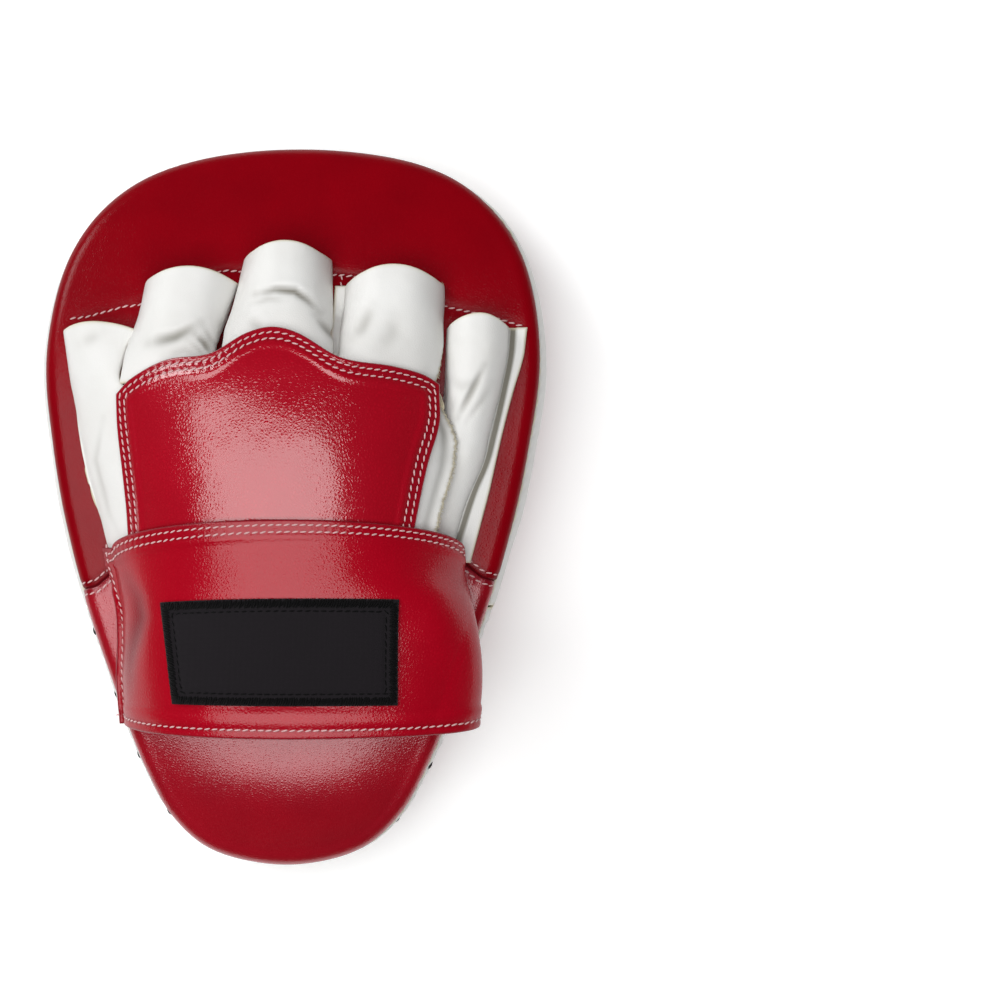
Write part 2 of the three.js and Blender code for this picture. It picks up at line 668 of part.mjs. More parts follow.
// The cuff's inner face: over the hand panel at its upper edge, and an arch of its own below.
function cuffSurface(u, v) {
  const first = CUFF_ROWS[0].along;
  const along = THREE.MathUtils.lerp(first, CUFF_ROWS[CUFF_ROWS.length - 1].along, v);
  const read = (column) => readTable(CUFF_ROWS, "along", along, column);
  const left = read("left") * HALF_WIDTH;
  const right = read("right") * HALF_WIDTH;
  const tuck = read("tuck");
  const free = read("free");
  const beyond = Math.max(0, 1 - u / CUFF_FLANGE_SHARE);
  const turn = Math.max(0, (u - CUFF_FLANGE_SHARE) / (1 - CUFF_FLANGE_SHARE));
  const angle = Math.PI - turn * (Math.PI + tuck);
  const x = (left + right) / 2 + (Math.cos(angle) * (right - left)) / 2 - beyond * CUFF_FLANGE;
  const lead = THREE.MathUtils.lerp(CUFF_TOP_LEAD, -CUFF_BOTTOM_LEAD, v);
  const y = along * HALF_LENGTH + lead * Math.max(0, Math.sin(angle));
  const side = angle > Math.PI / 2 ? 0 : tuck;
  const foot = side ? CUFF_LEATHER + 2 * LAYER_GAP : LAYER_GAP;
  const arch = (Math.sin(angle) + Math.sin(side)) / (1 + Math.sin(side));
  const own = foot + (CUFF_RISE - foot) * Math.max(0, arch) ** CUFF_HEIGHT_POWER;
  const over = handHeight(x, y) + HAND_LEATHER + 3 * LAYER_GAP;
  const floor = coverTop(x, y) ?? bend(x, y, PAD_THICKNESS).z;
  return new THREE.Vector3(x, y, floor + THREE.MathUtils.lerp(over, own, free));
}

// The cuff's share at which its arch reaches a place across the pad.
function cuffShare(x, v) {
  const along = THREE.MathUtils.lerp(CUFF_ROWS[0].along, CUFF_ROWS[CUFF_ROWS.length - 1].along, v);
  const read = (column) => readTable(CUFF_ROWS, "along", along, column);
  const left = read("left") * HALF_WIDTH;
  const right = read("right") * HALF_WIDTH;
  const angle = Math.acos((2 * x - left - right) / (right - left));
  const turn = (Math.PI - angle) / (Math.PI + read("tuck"));
  return CUFF_FLANGE_SHARE + (1 - CUFF_FLANGE_SHARE) * turn;
}

function patchSurface(u, v) {
  const down = THREE.MathUtils.lerp(PATCH_ROWS[0].down, PATCH_ROWS[1].down, v);
  const left = readTable(PATCH_ROWS, "down", down, "left");
  const right = readTable(PATCH_ROWS, "down", down, "right");
  const x = THREE.MathUtils.lerp(left, right, u) * HALF_WIDTH;
  return cuffSurface(cuffShare(x, down), down);
}

// The assembly.

const mitt = new THREE.Group();

function add(name, geometry, finish) {
  const mesh = new THREE.Mesh(geometry, new THREE.MeshStandardMaterial({ ...finish, metalness: 0 }));
  mesh.name = name;
  mitt.add(mesh);
}

add("foam_core", foamCore(), FOAM);
add("front_cover", frontCover(), FACE_LEATHER);
add("back_cover_upper", panelOf(coverGeometry, true), BACK_LEATHER);
add("back_cover_lower", panelOf(coverGeometry, false), BACK_LEATHER);
add("side_wall", sideWall(), WHITE_LEATHER);
const frontHem = hem(
  () => WALL_FOOT,
  (share) => SLIT_BOTTOM + scallop(share),
);
const backHem = hem(
  (share) => SLIT_TOP - scallop(share),
  () => WALL_HEAD,
);
add("side_hem_front", frontHem, WHITE_LEATHER);
add("side_hem_back", backHem, WHITE_LEATHER);
add("lace", laceSolid(LACE_RADIUS), LACE_CORD);
for (const stall of STALLS) {
  const sheet = leather(stallSurface(stall), STALL_COLUMNS, stall.rowSteps, -STALL_LEATHER, 0);
  add(stall.name, sheet, WHITE_LEATHER);
}
const thumbSheet = leather(thumbSurface, THUMB_COLUMNS, THUMB_ROW_STEPS, -STALL_LEATHER, 0);
add("thumb_stall", thumbSheet, WHITE_LEATHER);
const panelTop = LAYER_GAP + HAND_LEATHER;
add("hand_back", leather(panelSurface, PANEL_COLUMNS, PANEL_ROW_STEPS, LAYER_GAP, panelTop), GLOVE_LEATHER);
add("cuff", leather(cuffSurface, CUFF_COLUMNS, CUFF_ROW_STEPS, 0, CUFF_LEATHER), GLOVE_LEATHER);
const patchBase = CUFF_LEATHER + LAYER_GAP;
const patchTop = patchBase + PATCH_THICKNESS;
add("patch", leather(patchSurface, PATCH_COLUMNS, PATCH_ROW_STEPS, patchBase, patchTop), LABEL_CLOTH);

// The origin is under the middle of the mitt's box.
const box = new THREE.Box3().setFromObject(mitt);
const middle = box.getCenter(new THREE.Vector3());
mitt.position.set(-middle.x, -middle.y, -box.min.z);

export default mitt;
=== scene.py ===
# %% [markdown]
# # A focus mitt in leather
# A focus mitt is a curved pad of foam in a leather cover, held by a glove on its back.
# The measured frame comes first. It fixes the size and the place of every piece, and this
# script only dresses it: leather, stitches, lace and label.

# %% Load the frame
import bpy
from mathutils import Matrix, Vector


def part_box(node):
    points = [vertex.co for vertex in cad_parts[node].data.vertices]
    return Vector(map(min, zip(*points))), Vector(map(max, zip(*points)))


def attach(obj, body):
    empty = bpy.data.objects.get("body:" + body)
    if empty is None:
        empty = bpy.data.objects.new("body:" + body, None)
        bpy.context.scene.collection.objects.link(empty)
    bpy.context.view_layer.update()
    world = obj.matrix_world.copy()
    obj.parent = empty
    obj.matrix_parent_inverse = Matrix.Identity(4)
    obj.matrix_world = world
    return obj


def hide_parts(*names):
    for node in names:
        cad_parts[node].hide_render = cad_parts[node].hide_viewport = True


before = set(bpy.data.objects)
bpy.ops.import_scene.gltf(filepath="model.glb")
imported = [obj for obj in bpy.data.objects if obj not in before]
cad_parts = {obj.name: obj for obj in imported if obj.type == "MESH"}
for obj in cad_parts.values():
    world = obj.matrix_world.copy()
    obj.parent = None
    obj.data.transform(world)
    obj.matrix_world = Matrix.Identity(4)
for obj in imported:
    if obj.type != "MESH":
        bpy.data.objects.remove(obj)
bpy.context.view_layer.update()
print("nodes in the frame:", len(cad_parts))

# %% Libraries
import math

import bmesh
import bpy
import numpy as np
from mathutils import Vector

# %% [markdown]
# ## Sizes
# The leather follows the same few sizes as the frame, in millimetres. Shares of half the pad's
# length and width place the glove's lines, so that each table reads like a pattern cutter's notes.

# %% Sizes in millimetres
MM = 0.001
PAD_LENGTH = 274.4
PAD_WIDTH = 188.8
PAD_THICKNESS = 43.0
PAD_OFFSET = -1.8
PAD_LEAN = 0.02
FACE_RADIUS = 458.0
REST_FLAT = 1.6
COVER_LEATHER = 1.6
WALL_LEATHER = 1.5
STALL_LEATHER = 1.4
HAND_LEATHER = 1.4
CUFF_LEATHER = 1.8
PATCH_THICKNESS = 1.2
GAP = 0.3
LAYER_GAP = 0.5
FRONT_CROWN = 2.0
BACK_CROWN = 1.0
FRONT_RIM_RADIUS = 10.0
BACK_RIM_RADIUS = 6.0
RIM_INSET = 2.6
SLIT_WIDTH = 10.0
BACK_HEM_WIDTH = 7.5
SLIT_START = -38.0
SCALLOP = 1.2
LACE_PITCH = 26.0
SLIT_DEPTH = 8.5
FOAM_DEPTH = 4.6
HAND_RISE = 34.0
CUFF_RISE = 39.0
CUFF_TOP_LEAD = 10.0
CUFF_BOTTOM_LEAD = 3.0
CUFF_FLANGE = 4.0
THUMB_LEAD = 5.0
THUMB_RISE = 15.0
EYELET_MARGIN = 3.8
SEAM_HEIGHT = 4.0
SEAM_DROP = 55.0

HALF_LENGTH = PAD_LENGTH / 2
HALF_WIDTH = PAD_WIDTH / 2
FRONT_EDGE = FRONT_RIM_RADIUS
BACK_EDGE = PAD_THICKNESS - BACK_RIM_RADIUS
SLIT_TOP = BACK_EDGE - BACK_HEM_WIDTH
SLIT_BOTTOM = SLIT_TOP - SLIT_WIDTH
WALL_FOOT = FRONT_EDGE + GAP
WALL_HEAD = BACK_EDGE - GAP

# %% Pattern tables
def table(columns, *rows):
    """A pattern table: a dict of arrays, one for each named column."""
    return {name: np.array(values, float) for name, values in zip(columns.split(), zip(*rows))}


PAD_OUTLINE = table(
    "along half",
    (1.0, 0.0), (0.955, 0.49), (0.86, 0.742), (0.7, 0.915), (0.43, 1.0), (0.15, 0.962),
    (-0.15, 0.868), (-0.45, 0.73), (-0.72, 0.583), (-0.86, 0.47), (-0.955, 0.31), (-1.0, 0.0),
)
HAND_ARCH = table(
    "along left right crown",
    (0.6, -0.94, 0.68, 0.64), (0.5, -0.92, 0.69, 0.79), (0.37, -0.89, 0.7, 0.92),
    (0.19, -0.843, 0.725, 0.98), (0.02, -0.785, 0.71, 1.0), (-0.2, -0.7, 0.67, 1.0),
)
STALL_ROWS = {
    "little": table(
        "along left right rise merge",
        (0.477, -0.915, -0.632, 1.0, 0.0), (0.42, -0.9, -0.66, 1.0, 0.12),
        (0.34, -0.883, -0.682, 1.0, 0.6), (0.27, -0.864, -0.58, 1.0, 0.9),
        (0.11, -0.824, -0.56, 1.0, 1.0), (-0.06, -0.752, -0.55, 1.0, 1.0),
        (-0.16, -0.712, -0.54, 1.0, 1.0),
    ),
    "ring": table(
        "along left right rise merge",
        (0.605, -0.592, -0.216, 1.0, 0.0), (0.51, -0.618, -0.255, 1.02, 0.12),
        (0.42, -0.654, -0.283, 1.02, 0.6), (0.33, -0.672, -0.29, 1.0, 0.95),
    ),
    "middle": table(
        "along left right rise merge",
        (0.67, -0.203, 0.148, 1.0, 0.0), (0.56, -0.237, 0.158, 1.02, 0.12), (0.45, -0.27, 0.166, 1.02, 0.6),
        (0.36, -0.276, 0.168, 1.0, 0.95),
    ),
    "index": table(
        "along left right rise merge",
        (0.6, 0.195, 0.593, 1.0, 0.0), (0.51, 0.185, 0.593, 1.02, 0.1), (0.42, 0.18, 0.592, 1.02, 0.55),
        (0.36, 0.182, 0.58, 1.0, 0.9), (0.31, 0.3, 0.562, 1.0, 1.0), (0.25, 0.4, 0.598, 1.0, 1.0),
        (0.19, 0.41, 0.633, 1.0, 1.0), (0.12, 0.4, 0.629, 1.0, 1.0), (0.03, 0.38, 0.595, 1.0, 1.0),
        (-0.06, 0.36, 0.563, 1.0, 1.0), (-0.15, 0.34, 0.53, 1.0, 1.0),
    ),
}
STALL_RISE = {"little": 13.0, "ring": 20.0, "middle": 23.0, "index": 20.0}
STALL_LEAD = {"little": 3.0, "ring": 5.5, "middle": 6.0, "index": 7.0}
THUMB_ROWS = table(
    "along left right flange rise",
    (0.485, 0.606, 0.846, 0.913, 1.0), (0.41, 0.602, 0.838, 0.9, 1.0), (0.3, 0.595, 0.806, 0.854, 0.86),
    (0.2, 0.575, 0.773, 0.817, 0.68), (0.12, 0.548, 0.742, 0.79, 0.6), (0.03, 0.53, 0.688, 0.76, 0.5),
    (-0.15, 0.51, 0.605, 0.69, 0.35),
)
PANEL_SIDES = table(
    "along left right",
    (0.48, -0.668, 0.56), (0.3, -0.664, 0.5615), (0.22, -0.658, 0.5625), (0.113, -0.64, 0.52),
    (0.0, -0.625, 0.486), (-0.16, -0.61, 0.44),
)
PANEL_TOP = table(
    "across along",
    (0.0, 0.3), (0.05, 0.34), (0.16, 0.386), (0.3, 0.402), (0.41, 0.455), (0.49, 0.472), (0.57, 0.455),
    (0.7, 0.392), (0.86, 0.37), (0.95, 0.35), (1.0, 0.325),
)
PANEL_BOTTOM = -0.15
CUFF_ROWS = table(
    "along left right free tuck",
    (-0.105, -0.685, 0.65, 0.0, 0.05), (-0.19, -0.668, 0.658, 0.35, 0.25), (-0.27, -0.652, 0.688, 0.8, 0.5),
    (-0.35, -0.652, 0.71, 1.0, 0.6), (-0.46, -0.66, 0.722, 1.0, 0.62), (-0.585, -0.648, 0.706, 1.0, 0.55),
)
PATCH_ROWS = table("down left right", (0.357, -0.475, 0.414), (0.844, -0.434, 0.41))


def read_table(rows, column, at, key="along"):
    """The value of a column between the rows, on a smooth curve through them."""
    keys, values = rows[key], rows[column]
    if keys[0] > keys[-1]:
        keys, values = keys[::-1], values[::-1]
    at = np.asarray(at, float)
    ahead = np.clip(np.searchsorted(keys, at), 1, len(keys) - 1)
    slopes = np.empty(len(keys))
    slopes[1:-1] = (values[2:] - values[:-2]) / (keys[2:] - keys[:-2])
    slopes[0] = (values[1] - values[0]) / (keys[1] - keys[0])
    slopes[-1] = (values[-1] - values[-2]) / (keys[-1] - keys[-2])
    span = keys[ahead] - keys[ahead - 1]
    t = np.clip((at - keys[ahead - 1]) / span, 0, 1)
    return (
        (2 * t**3 - 3 * t**2 + 1) * values[ahead - 1]
        + (t**3 - 2 * t**2 + t) * span * slopes[ahead - 1]
        + (3 * t**2 - 2 * t**3) * values[ahead]
        + (t**3 - t**2) * span * slopes[ahead]
    )


print("pattern tables ready for", len(STALL_ROWS) + 1, "stalls")

# %% [markdown]
# ## The pad's form
# The outline is one closed curve through a dozen rows of the table, mirrored. Everything on the
# pad is placed by three numbers: a share of the way round that outline, an inset from it, and a
# height over the striking face. A bow along the pad's length then carries the point, which is how
# a curved mitt is made: flat pieces, sewn round a block of foam that is moulded in a curve.

# %% Outline and bow
def smooth(share):
    t = np.clip(share, 0, 1)
    return t * t * (3 - 2 * t)


def mix(a, b, share):
    return a + (b - a) * share


def pad_middle(y):
    return PAD_OFFSET + PAD_LEAN * y


def closed_curve(points, steps=80):
    """A smooth closed curve through points, sampled evenly by length: places and directions."""
    count = len(points)
    samples = []
    for k in range(count):
        p0, p1, p2, p3 = (points[(k + step) % count] for step in (-1, 0, 1, 2))
        d0, d1, d2 = (np.linalg.norm(b - a) ** 0.5 for a, b in ((p0, p1), (p1, p2), (p2, p3)))
        start = ((p1 - p0) / d0 - (p2 - p0) / (d0 + d1) + (p2 - p1) / d1) * d1
        stop = ((p2 - p1) / d1 - (p3 - p1) / (d1 + d2) + (p3 - p2) / d2) * d1
        t = (np.arange(steps) / steps)[:, None]
        samples.append(
            (2 * t**3 - 3 * t**2 + 1) * p1 + (t**3 - 2 * t**2 + t) * start
            + (3 * t**2 - 2 * t**3) * p2 + (t**3 - t**2) * stop
        )
    path = np.vstack([*samples, samples[0][:1]])
    length = np.concatenate([[0], np.cumsum(np.linalg.norm(np.diff(path, axis=0), axis=1))])
    return path, length


half_rows = list(zip(PAD_OUTLINE["along"], PAD_OUTLINE["half"]))
outline_rows = half_rows + [(along, -half) for along, half in half_rows[-2:0:-1]]
outline_points = [
    np.array([pad_middle(along * HALF_LENGTH) + half * HALF_WIDTH, along * HALF_LENGTH])
    for along, half in outline_rows
]
OUTLINE_PATH, OUTLINE_RUN = closed_curve(outline_points)
OUTLINE_LENGTH = OUTLINE_RUN[-1]


def outline_point(share, inset):
    """A point of the outline, moved inwards. The shares run by the thumb side to the tip and back."""
    run = np.mod(share, 1.0) * OUTLINE_LENGTH
    step = 1.0
    place = [np.interp(run, OUTLINE_RUN, OUTLINE_PATH[:, k]) for k in (0, 1)]
    ahead = [np.interp(np.mod(run + step, OUTLINE_LENGTH), OUTLINE_RUN, OUTLINE_PATH[:, k]) for k in (0, 1)]
    behind = [np.interp(np.mod(run - step, OUTLINE_LENGTH), OUTLINE_RUN, OUTLINE_PATH[:, k]) for k in (0, 1)]
    tangent = np.array([ahead[0] - behind[0], ahead[1] - behind[1]])
    tangent = tangent / np.linalg.norm(tangent, axis=0)
    return place[0] + tangent[1] * inset, place[1] - tangent[0] * inset


def bow_angle(y):
    return np.arcsin(y / (FACE_RADIUS + BACK_EDGE))


END_RIM_ANGLE = bow_angle(HALF_LENGTH - RIM_INSET - FRONT_RIM_RADIUS)
FLOOR_LEVEL = (FACE_RADIUS + FRONT_RIM_RADIUS) * math.cos(END_RIM_ANGLE) - FRONT_RIM_RADIUS + REST_FLAT


def bend(x, y, height):
    angle = bow_angle(y)
    radius = FACE_RADIUS + height
    parts = np.broadcast_arrays(x, radius * np.sin(angle), radius * np.cos(angle) - FLOOR_LEVEL)
    return np.stack(parts, axis=-1)


def pad_point(share, inset, height):
    x, y = outline_point(share, inset)
    return bend(x, y, height)


def share_at(y, side):
    """The share at which the thumb side (1) or little-finger side (-1) reaches a place along the pad."""
    shares = np.linspace(0, 0.5, 2001) * side
    return shares[np.argmin(np.abs(outline_point(shares, 0.0)[1] - y))] % 1.0


SLIT_RIGHT = share_at(SLIT_START, 1)
SLIT_LEFT = share_at(SLIT_START, -1)
print("outline length", round(OUTLINE_LENGTH, 1), "mm")
print("slit from share", round(SLIT_RIGHT, 3), "to", round(SLIT_LEFT, 3))

# %% The frame's origin
pad_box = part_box("front_cover")
CAD_STEPS = 40
cover_reach = pad_point(np.arange(CAD_STEPS) / CAD_STEPS, RIM_INSET, FRONT_EDGE)
SHIFT_X = (pad_box[0].x + pad_box[1].x) / 2 / MM - (cover_reach[:, 0].min() + cover_reach[:, 0].max()) / 2
SHIFT_Y = (pad_box[0].y + pad_box[1].y) / 2 / MM - (cover_reach[:, 1].min() + cover_reach[:, 1].max()) / 2
SHIFT = np.array([SHIFT_X, SHIFT_Y, 0.0])
print("the pad's own axes lie", SHIFT.round(2), "mm from the frame's")

# %% [markdown]
# ## From numbers to meshes
# Two builders are enough. One closes a sheet between two grids of points, with rounded edges, for
# every cut piece of leather. The other closes a shell through rings, for the pad. The sheet builder
# writes what the materials want to know on each vertex: how far it is from a cut edge, and how much
# painted shade darkens it where a stitch or a fold presses it.

# %% Mesh helpers
def mesh_object(name, points, faces, attributes=None, uv=None):
    """A smooth-shaded object from points in millimetres on the pad's own axes."""
    mesh = bpy.data.meshes.new(name)
    mesh.from_pydata(((np.asarray(points) + SHIFT) * MM).tolist(), [], np.asarray(faces).tolist())
    mesh.polygons.foreach_set("use_smooth", np.ones(len(mesh.polygons), bool))
    for key, values in (attributes or {}).items():
        layer = mesh.attributes.new(key, "FLOAT", "POINT")
        layer.data.foreach_set("value", np.asarray(values, np.float32).ravel())
    if uv is not None:
        corners = np.empty(len(mesh.loops), np.int32)
        mesh.loops.foreach_get("vertex_index", corners)
        layer = mesh.uv_layers.new(name="sheet")
        layer.data.foreach_set("uv", np.asarray(uv, np.float32).reshape(-1, 2)[corners].ravel())
    mesh.validate()
    mesh.update()
    made = bpy.data.objects.new(name, mesh)
    bpy.context.scene.collection.objects.link(made)
    return made


def grid_faces(columns, rows, first=0, turned=False):
    c, r = np.meshgrid(np.arange(columns - 1), np.arange(rows - 1), indexing="ij")
    a = first + c * rows + r
    quads = np.stack([a, a + rows, a + rows + 1, a + 1], axis=-1).reshape(-1, 4)
    return quads[:, ::-1] if turned else quads


def sheet_faces(columns, rows):
    """Faces of a sheet whose first grid is its lower side and whose second is its upper side."""
    size = columns * rows
    lower = grid_faces(columns, rows, 0, turned=True)
    upper = grid_faces(columns, rows, size)
    c = np.arange(columns - 1) * rows
    r = np.arange(rows - 1)
    last = (columns - 1) * rows
    walls = [
        np.stack([c, c + rows, c + rows + size, c + size], -1),
        np.stack([c + rows + rows - 1, c + rows - 1, c + rows - 1 + size, c + rows + rows - 1 + size], -1),
        np.stack([r + 1, r, r + size, r + 1 + size], -1),
        np.stack([last + r, last + r + 1, last + r + 1 + size, last + r + size], -1),
    ]
    return np.vstack([lower, upper, *walls])


def face_out(points, faces):
    """Turns all faces round if they make the solid inside out."""
    p = points[faces[:, :3]]
    volume = np.einsum("ij,ij->i", p[:, 0], np.cross(p[:, 1], p[:, 2])).sum()
    return faces[:, ::-1] if volume < 0 else faces


def edge_steps(length, cell, round_width):
    """Shares from 0 to 1 for a row of vertices, closer together near both ends."""
    count = max(4, int(length / cell))
    near = np.array([0, 0.12, 0.35, 0.65, 1.0]) * round_width / length
    inner = np.linspace(near[-1], 1 - near[-1], count)[1:-1]
    return np.concatenate([near, inner, 1 - near[::-1]])


def normals_of(points):
    across = np.gradient(points, axis=0)
    lengthwise = np.gradient(points, axis=1)
    normal = np.cross(across, lengthwise)
    normal /= np.maximum(np.linalg.norm(normal, axis=-1, keepdims=True), 1e-9)
    middle = normal[normal.shape[0] // 2, normal.shape[1] // 2]
    return -normal if middle[2] < 0 else normal


def noise(points, size, seed):
    """Smooth random heights from -1 to 1 at the points, with bumps about the given size apart."""
    cell = points / size
    base = np.floor(cell).astype(np.int64)
    part = smooth(cell - base)
    total = np.zeros(points.shape[:-1])
    for corner in np.ndindex(2, 2, 2):
        at = base + np.array(corner)
        key = (at[..., 0] * 73856093) ^ (at[..., 1] * 19349663) ^ (at[..., 2] * 83492791)
        key = key ^ (seed * 2654435761)
        key = (key ^ (key >> 13)) * 1274126177
        value = ((key ^ (key >> 16)) & 0xFFFF) / 32767.5 - 1
        weight = np.prod(np.where(np.array(corner) == 1, part, 1 - part), axis=-1)
        total += weight * value
    return total


print("mesh helpers ready")

# %% [markdown]
# ## The surfaces that carry the glove
# The back cover is almost flat and rolls over at its rim. The glove stands on it as a family of arches:
# one wide arch over the hand, five small ones over the fingers and a tall one round the wrist. A height
# over the cover is all that each arch needs, so the surfaces are written as plain functions of two shares.

# %% Heights on the back cover
MIDDLE_X = pad_middle(0.0)
EDGE_FALL = 1.8
FALL_START = 0.62


def polar_reach(inset):
    """Distance from the pad's middle to the inset outline, by direction."""
    x, y = outline_point(np.arange(720) / 720, inset)
    angle = np.arctan2(y, x - MIDDLE_X)
    order = np.argsort(angle)
    return angle[order], np.hypot(x - MIDDLE_X, y)[order]


DISC_POLAR = polar_reach(RIM_INSET + BACK_RIM_RADIUS)
RIM_POLAR = polar_reach(RIM_INSET)


def edge_fall(reach):
    """The foam's back edge is rounded by hand, so the cover falls a little before it rolls over."""
    return EDGE_FALL * np.clip((reach - FALL_START) / (1 - FALL_START), 0, 1) ** 2


def cover_height(x, y, rolled=True):
    angle = np.arctan2(y, x - MIDDLE_X)
    away = np.hypot(x - MIDDLE_X, y)
    disc = np.interp(angle, *DISC_POLAR, period=2 * math.pi)
    rim = np.interp(angle, *RIM_POLAR, period=2 * math.pi)
    reach = np.clip(away / disc, 0, 1)
    crown = BACK_CROWN * (1 - reach**2) - edge_fall(reach)
    over = np.clip((away - disc) / (rim - disc), 0, 1) if rolled else 0.0
    return PAD_THICKNESS + crown - (BACK_RIM_RADIUS - EDGE_FALL) * (1 - np.sqrt(1 - over**2))


def cover_top(x, y, rolled=True):
    """The level of the back cover under a place, seen from above."""
    height = PAD_THICKNESS
    for _ in range(2):
        flat_y = y * (FACE_RADIUS + BACK_EDGE) / (FACE_RADIUS + height)
        height = cover_height(x, flat_y, rolled)
    return (FACE_RADIUS + height) * np.cos(bow_angle(flat_y)) - FLOOR_LEVEL


def on_cover(x, y, height, rolled=True):
    return np.stack(np.broadcast_arrays(x, y, cover_top(x, y, rolled) + height), axis=-1)


# %% Arches of the glove
ARCH_WIDTH_POWER = 2.2
ARCH_HEIGHT_POWER = 0.8
STALL_WIDTH_POWER = 2.6
STALL_HEIGHT_POWER = 0.5
CUFF_HEIGHT_POWER = 0.8
LEAD_POWER = 3
THUMB_ARCH_SHARE = 10 / 12
CUFF_FLANGE_SHARE = 1 / 18


def hand_height(x, y):
    along = y / HALF_LENGTH
    left = read_table(HAND_ARCH, "left", along) * HALF_WIDTH
    right = read_table(HAND_ARCH, "right", along) * HALF_WIDTH
    across = (x - (left + right) / 2) / ((right - left) / 2)
    crown = read_table(HAND_ARCH, "crown", along) * HAND_RISE
    return crown * np.clip(1 - np.abs(across) ** ARCH_WIDTH_POWER, 0, None) ** ARCH_HEIGHT_POWER


# The index stall keeps a narrow flange towards the middle one, in millimetres.
STALL_FLANGE = {"index": 4.0}
FLANGE_SHARE = 0.07
# The little finger's stall is sewn to the side of the ring finger's, so its right side stays up
# and reaches further, in millimetres.
STALL_HOLD = {"little": 0.55}
STALL_REACH = {"little": 2.2}
# The thumb's tube leans against the index stall, so its left side reaches further too.
THUMB_REACH = 1.4


def stall_arch(across):
    return np.clip(1 - np.abs(across) ** STALL_WIDTH_POWER, 0, None) ** STALL_HEIGHT_POWER


def stall_surface(name):
    rows, rise, lead = STALL_ROWS[name], STALL_RISE[name], STALL_LEAD[name]

    def surface(u, v):
        along = mix(rows["along"][0], rows["along"][-1], v)
        left = read_table(rows, "left", along) * HALF_WIDTH + LAYER_GAP
        right = read_table(rows, "right", along) * HALF_WIDTH - LAYER_GAP
        foot = STALL_FLANGE.get(name, 0.0)
        share = FLANGE_SHARE if foot else 0.0
        across = -np.cos(math.pi * np.clip((u - share) / (1 - share), 0, 1))
        beyond = np.clip(1 - u / FLANGE_SHARE, 0, 1) * foot
        reach = STALL_REACH.get(name, 0.0) * smooth(across)
        x = (left + right) / 2 + across * (right - left) / 2 - beyond + reach
        y = along * HALF_LENGTH + lead * (1 - across**2) * (1 - v) ** LEAD_POWER
        hold = STALL_HOLD.get(name, 0.0) * smooth(across)
        hump = rise * read_table(rows, "rise", along) * mix(stall_arch(across), 1.0, hold)
        return on_cover(x, y, mix(hump, hand_height(x, y), read_table(rows, "merge", along)))

    return surface


def thumb_surface(u, v):
    along = mix(THUMB_ROWS["along"][0], THUMB_ROWS["along"][-1], v)
    left = read_table(THUMB_ROWS, "left", along) * HALF_WIDTH + LAYER_GAP
    right = read_table(THUMB_ROWS, "right", along) * HALF_WIDTH
    flange = read_table(THUMB_ROWS, "flange", along) * HALF_WIDTH
    across = -np.cos(math.pi * np.minimum(1, u / THUMB_ARCH_SHARE))
    beyond = np.maximum(0, (u - THUMB_ARCH_SHARE) / (1 - THUMB_ARCH_SHARE))
    reach = THUMB_REACH * smooth(-across)
    x = (left + right) / 2 + across * (right - left) / 2 + beyond * (flange - right) - reach
    y = along * HALF_LENGTH + THUMB_LEAD * (1 - across**2) * (1 - v) ** LEAD_POWER
    return on_cover(x, y, THUMB_RISE * read_table(THUMB_ROWS, "rise", along) * stall_arch(across))


def panel_surface(u, v):
    along = mix(PANEL_BOTTOM, read_table(PANEL_TOP, "along", u, key="across"), v)
    left = read_table(PANEL_SIDES, "left", along) * HALF_WIDTH
    right = read_table(PANEL_SIDES, "right", along) * HALF_WIDTH
    x = mix(left, right, u)
    y = along * HALF_LENGTH
    return on_cover(x, y, hand_height(x, y))


def cuff_surface(u, v):
    along = mix(CUFF_ROWS["along"][0], CUFF_ROWS["along"][-1], v)
    left, right, free, tuck = (read_table(CUFF_ROWS, key, along) for key in ("left", "right", "free", "tuck"))
    left, right = left * HALF_WIDTH, right * HALF_WIDTH
    beyond = np.maximum(0, 1 - u / CUFF_FLANGE_SHARE)
    turn = np.maximum(0, (u - CUFF_FLANGE_SHARE) / (1 - CUFF_FLANGE_SHARE))
    angle = math.pi - turn * (math.pi + tuck)
    x = (left + right) / 2 + np.cos(angle) * (right - left) / 2 - beyond * CUFF_FLANGE
    y = along * HALF_LENGTH + mix(CUFF_TOP_LEAD, -CUFF_BOTTOM_LEAD, v) * np.maximum(0, np.sin(angle))
    side = np.where(angle > math.pi / 2, 0.0, tuck)
    foot = np.where(angle > math.pi / 2, LAYER_GAP, CUFF_LEATHER + 2 * LAYER_GAP)
    arch = np.maximum(0, (np.sin(angle) + np.sin(side)) / (1 + np.sin(side)))
    own = foot + (CUFF_RISE - foot) * arch**CUFF_HEIGHT_POWER
    over = hand_height(x, y) + HAND_LEATHER + 3 * LAYER_GAP
    return on_cover(x, y, mix(over, own, free), rolled=False)


def cuff_share(x, v):
    """The cuff's share at which its arch reaches a place across the pad."""
    along = mix(CUFF_ROWS["along"][0], CUFF_ROWS["along"][-1], v)
    left, right, tuck = (read_table(CUFF_ROWS, key, along) for key in ("left", "right", "tuck"))
    across = (2 * x / HALF_WIDTH - left - right) / (right - left)
    turn = (math.pi - np.arccos(np.clip(across, -1, 1))) / (math.pi + tuck)
    return CUFF_FLANGE_SHARE + (1 - CUFF_FLANGE_SHARE) * turn


def patch_surface(u, v):
    down = mix(PATCH_ROWS["down"][0], PATCH_ROWS["down"][-1], v)
    left, right = (read_table(PATCH_ROWS, key, down, key="down") for key in ("left", "right"))
    return cuff_surface(cuff_share(mix(left, right, u) * HALF_WIDTH, down), down)


print("hand pocket stands", round(float(hand_height(0.0, 0.0)), 1), "mm over the cover")

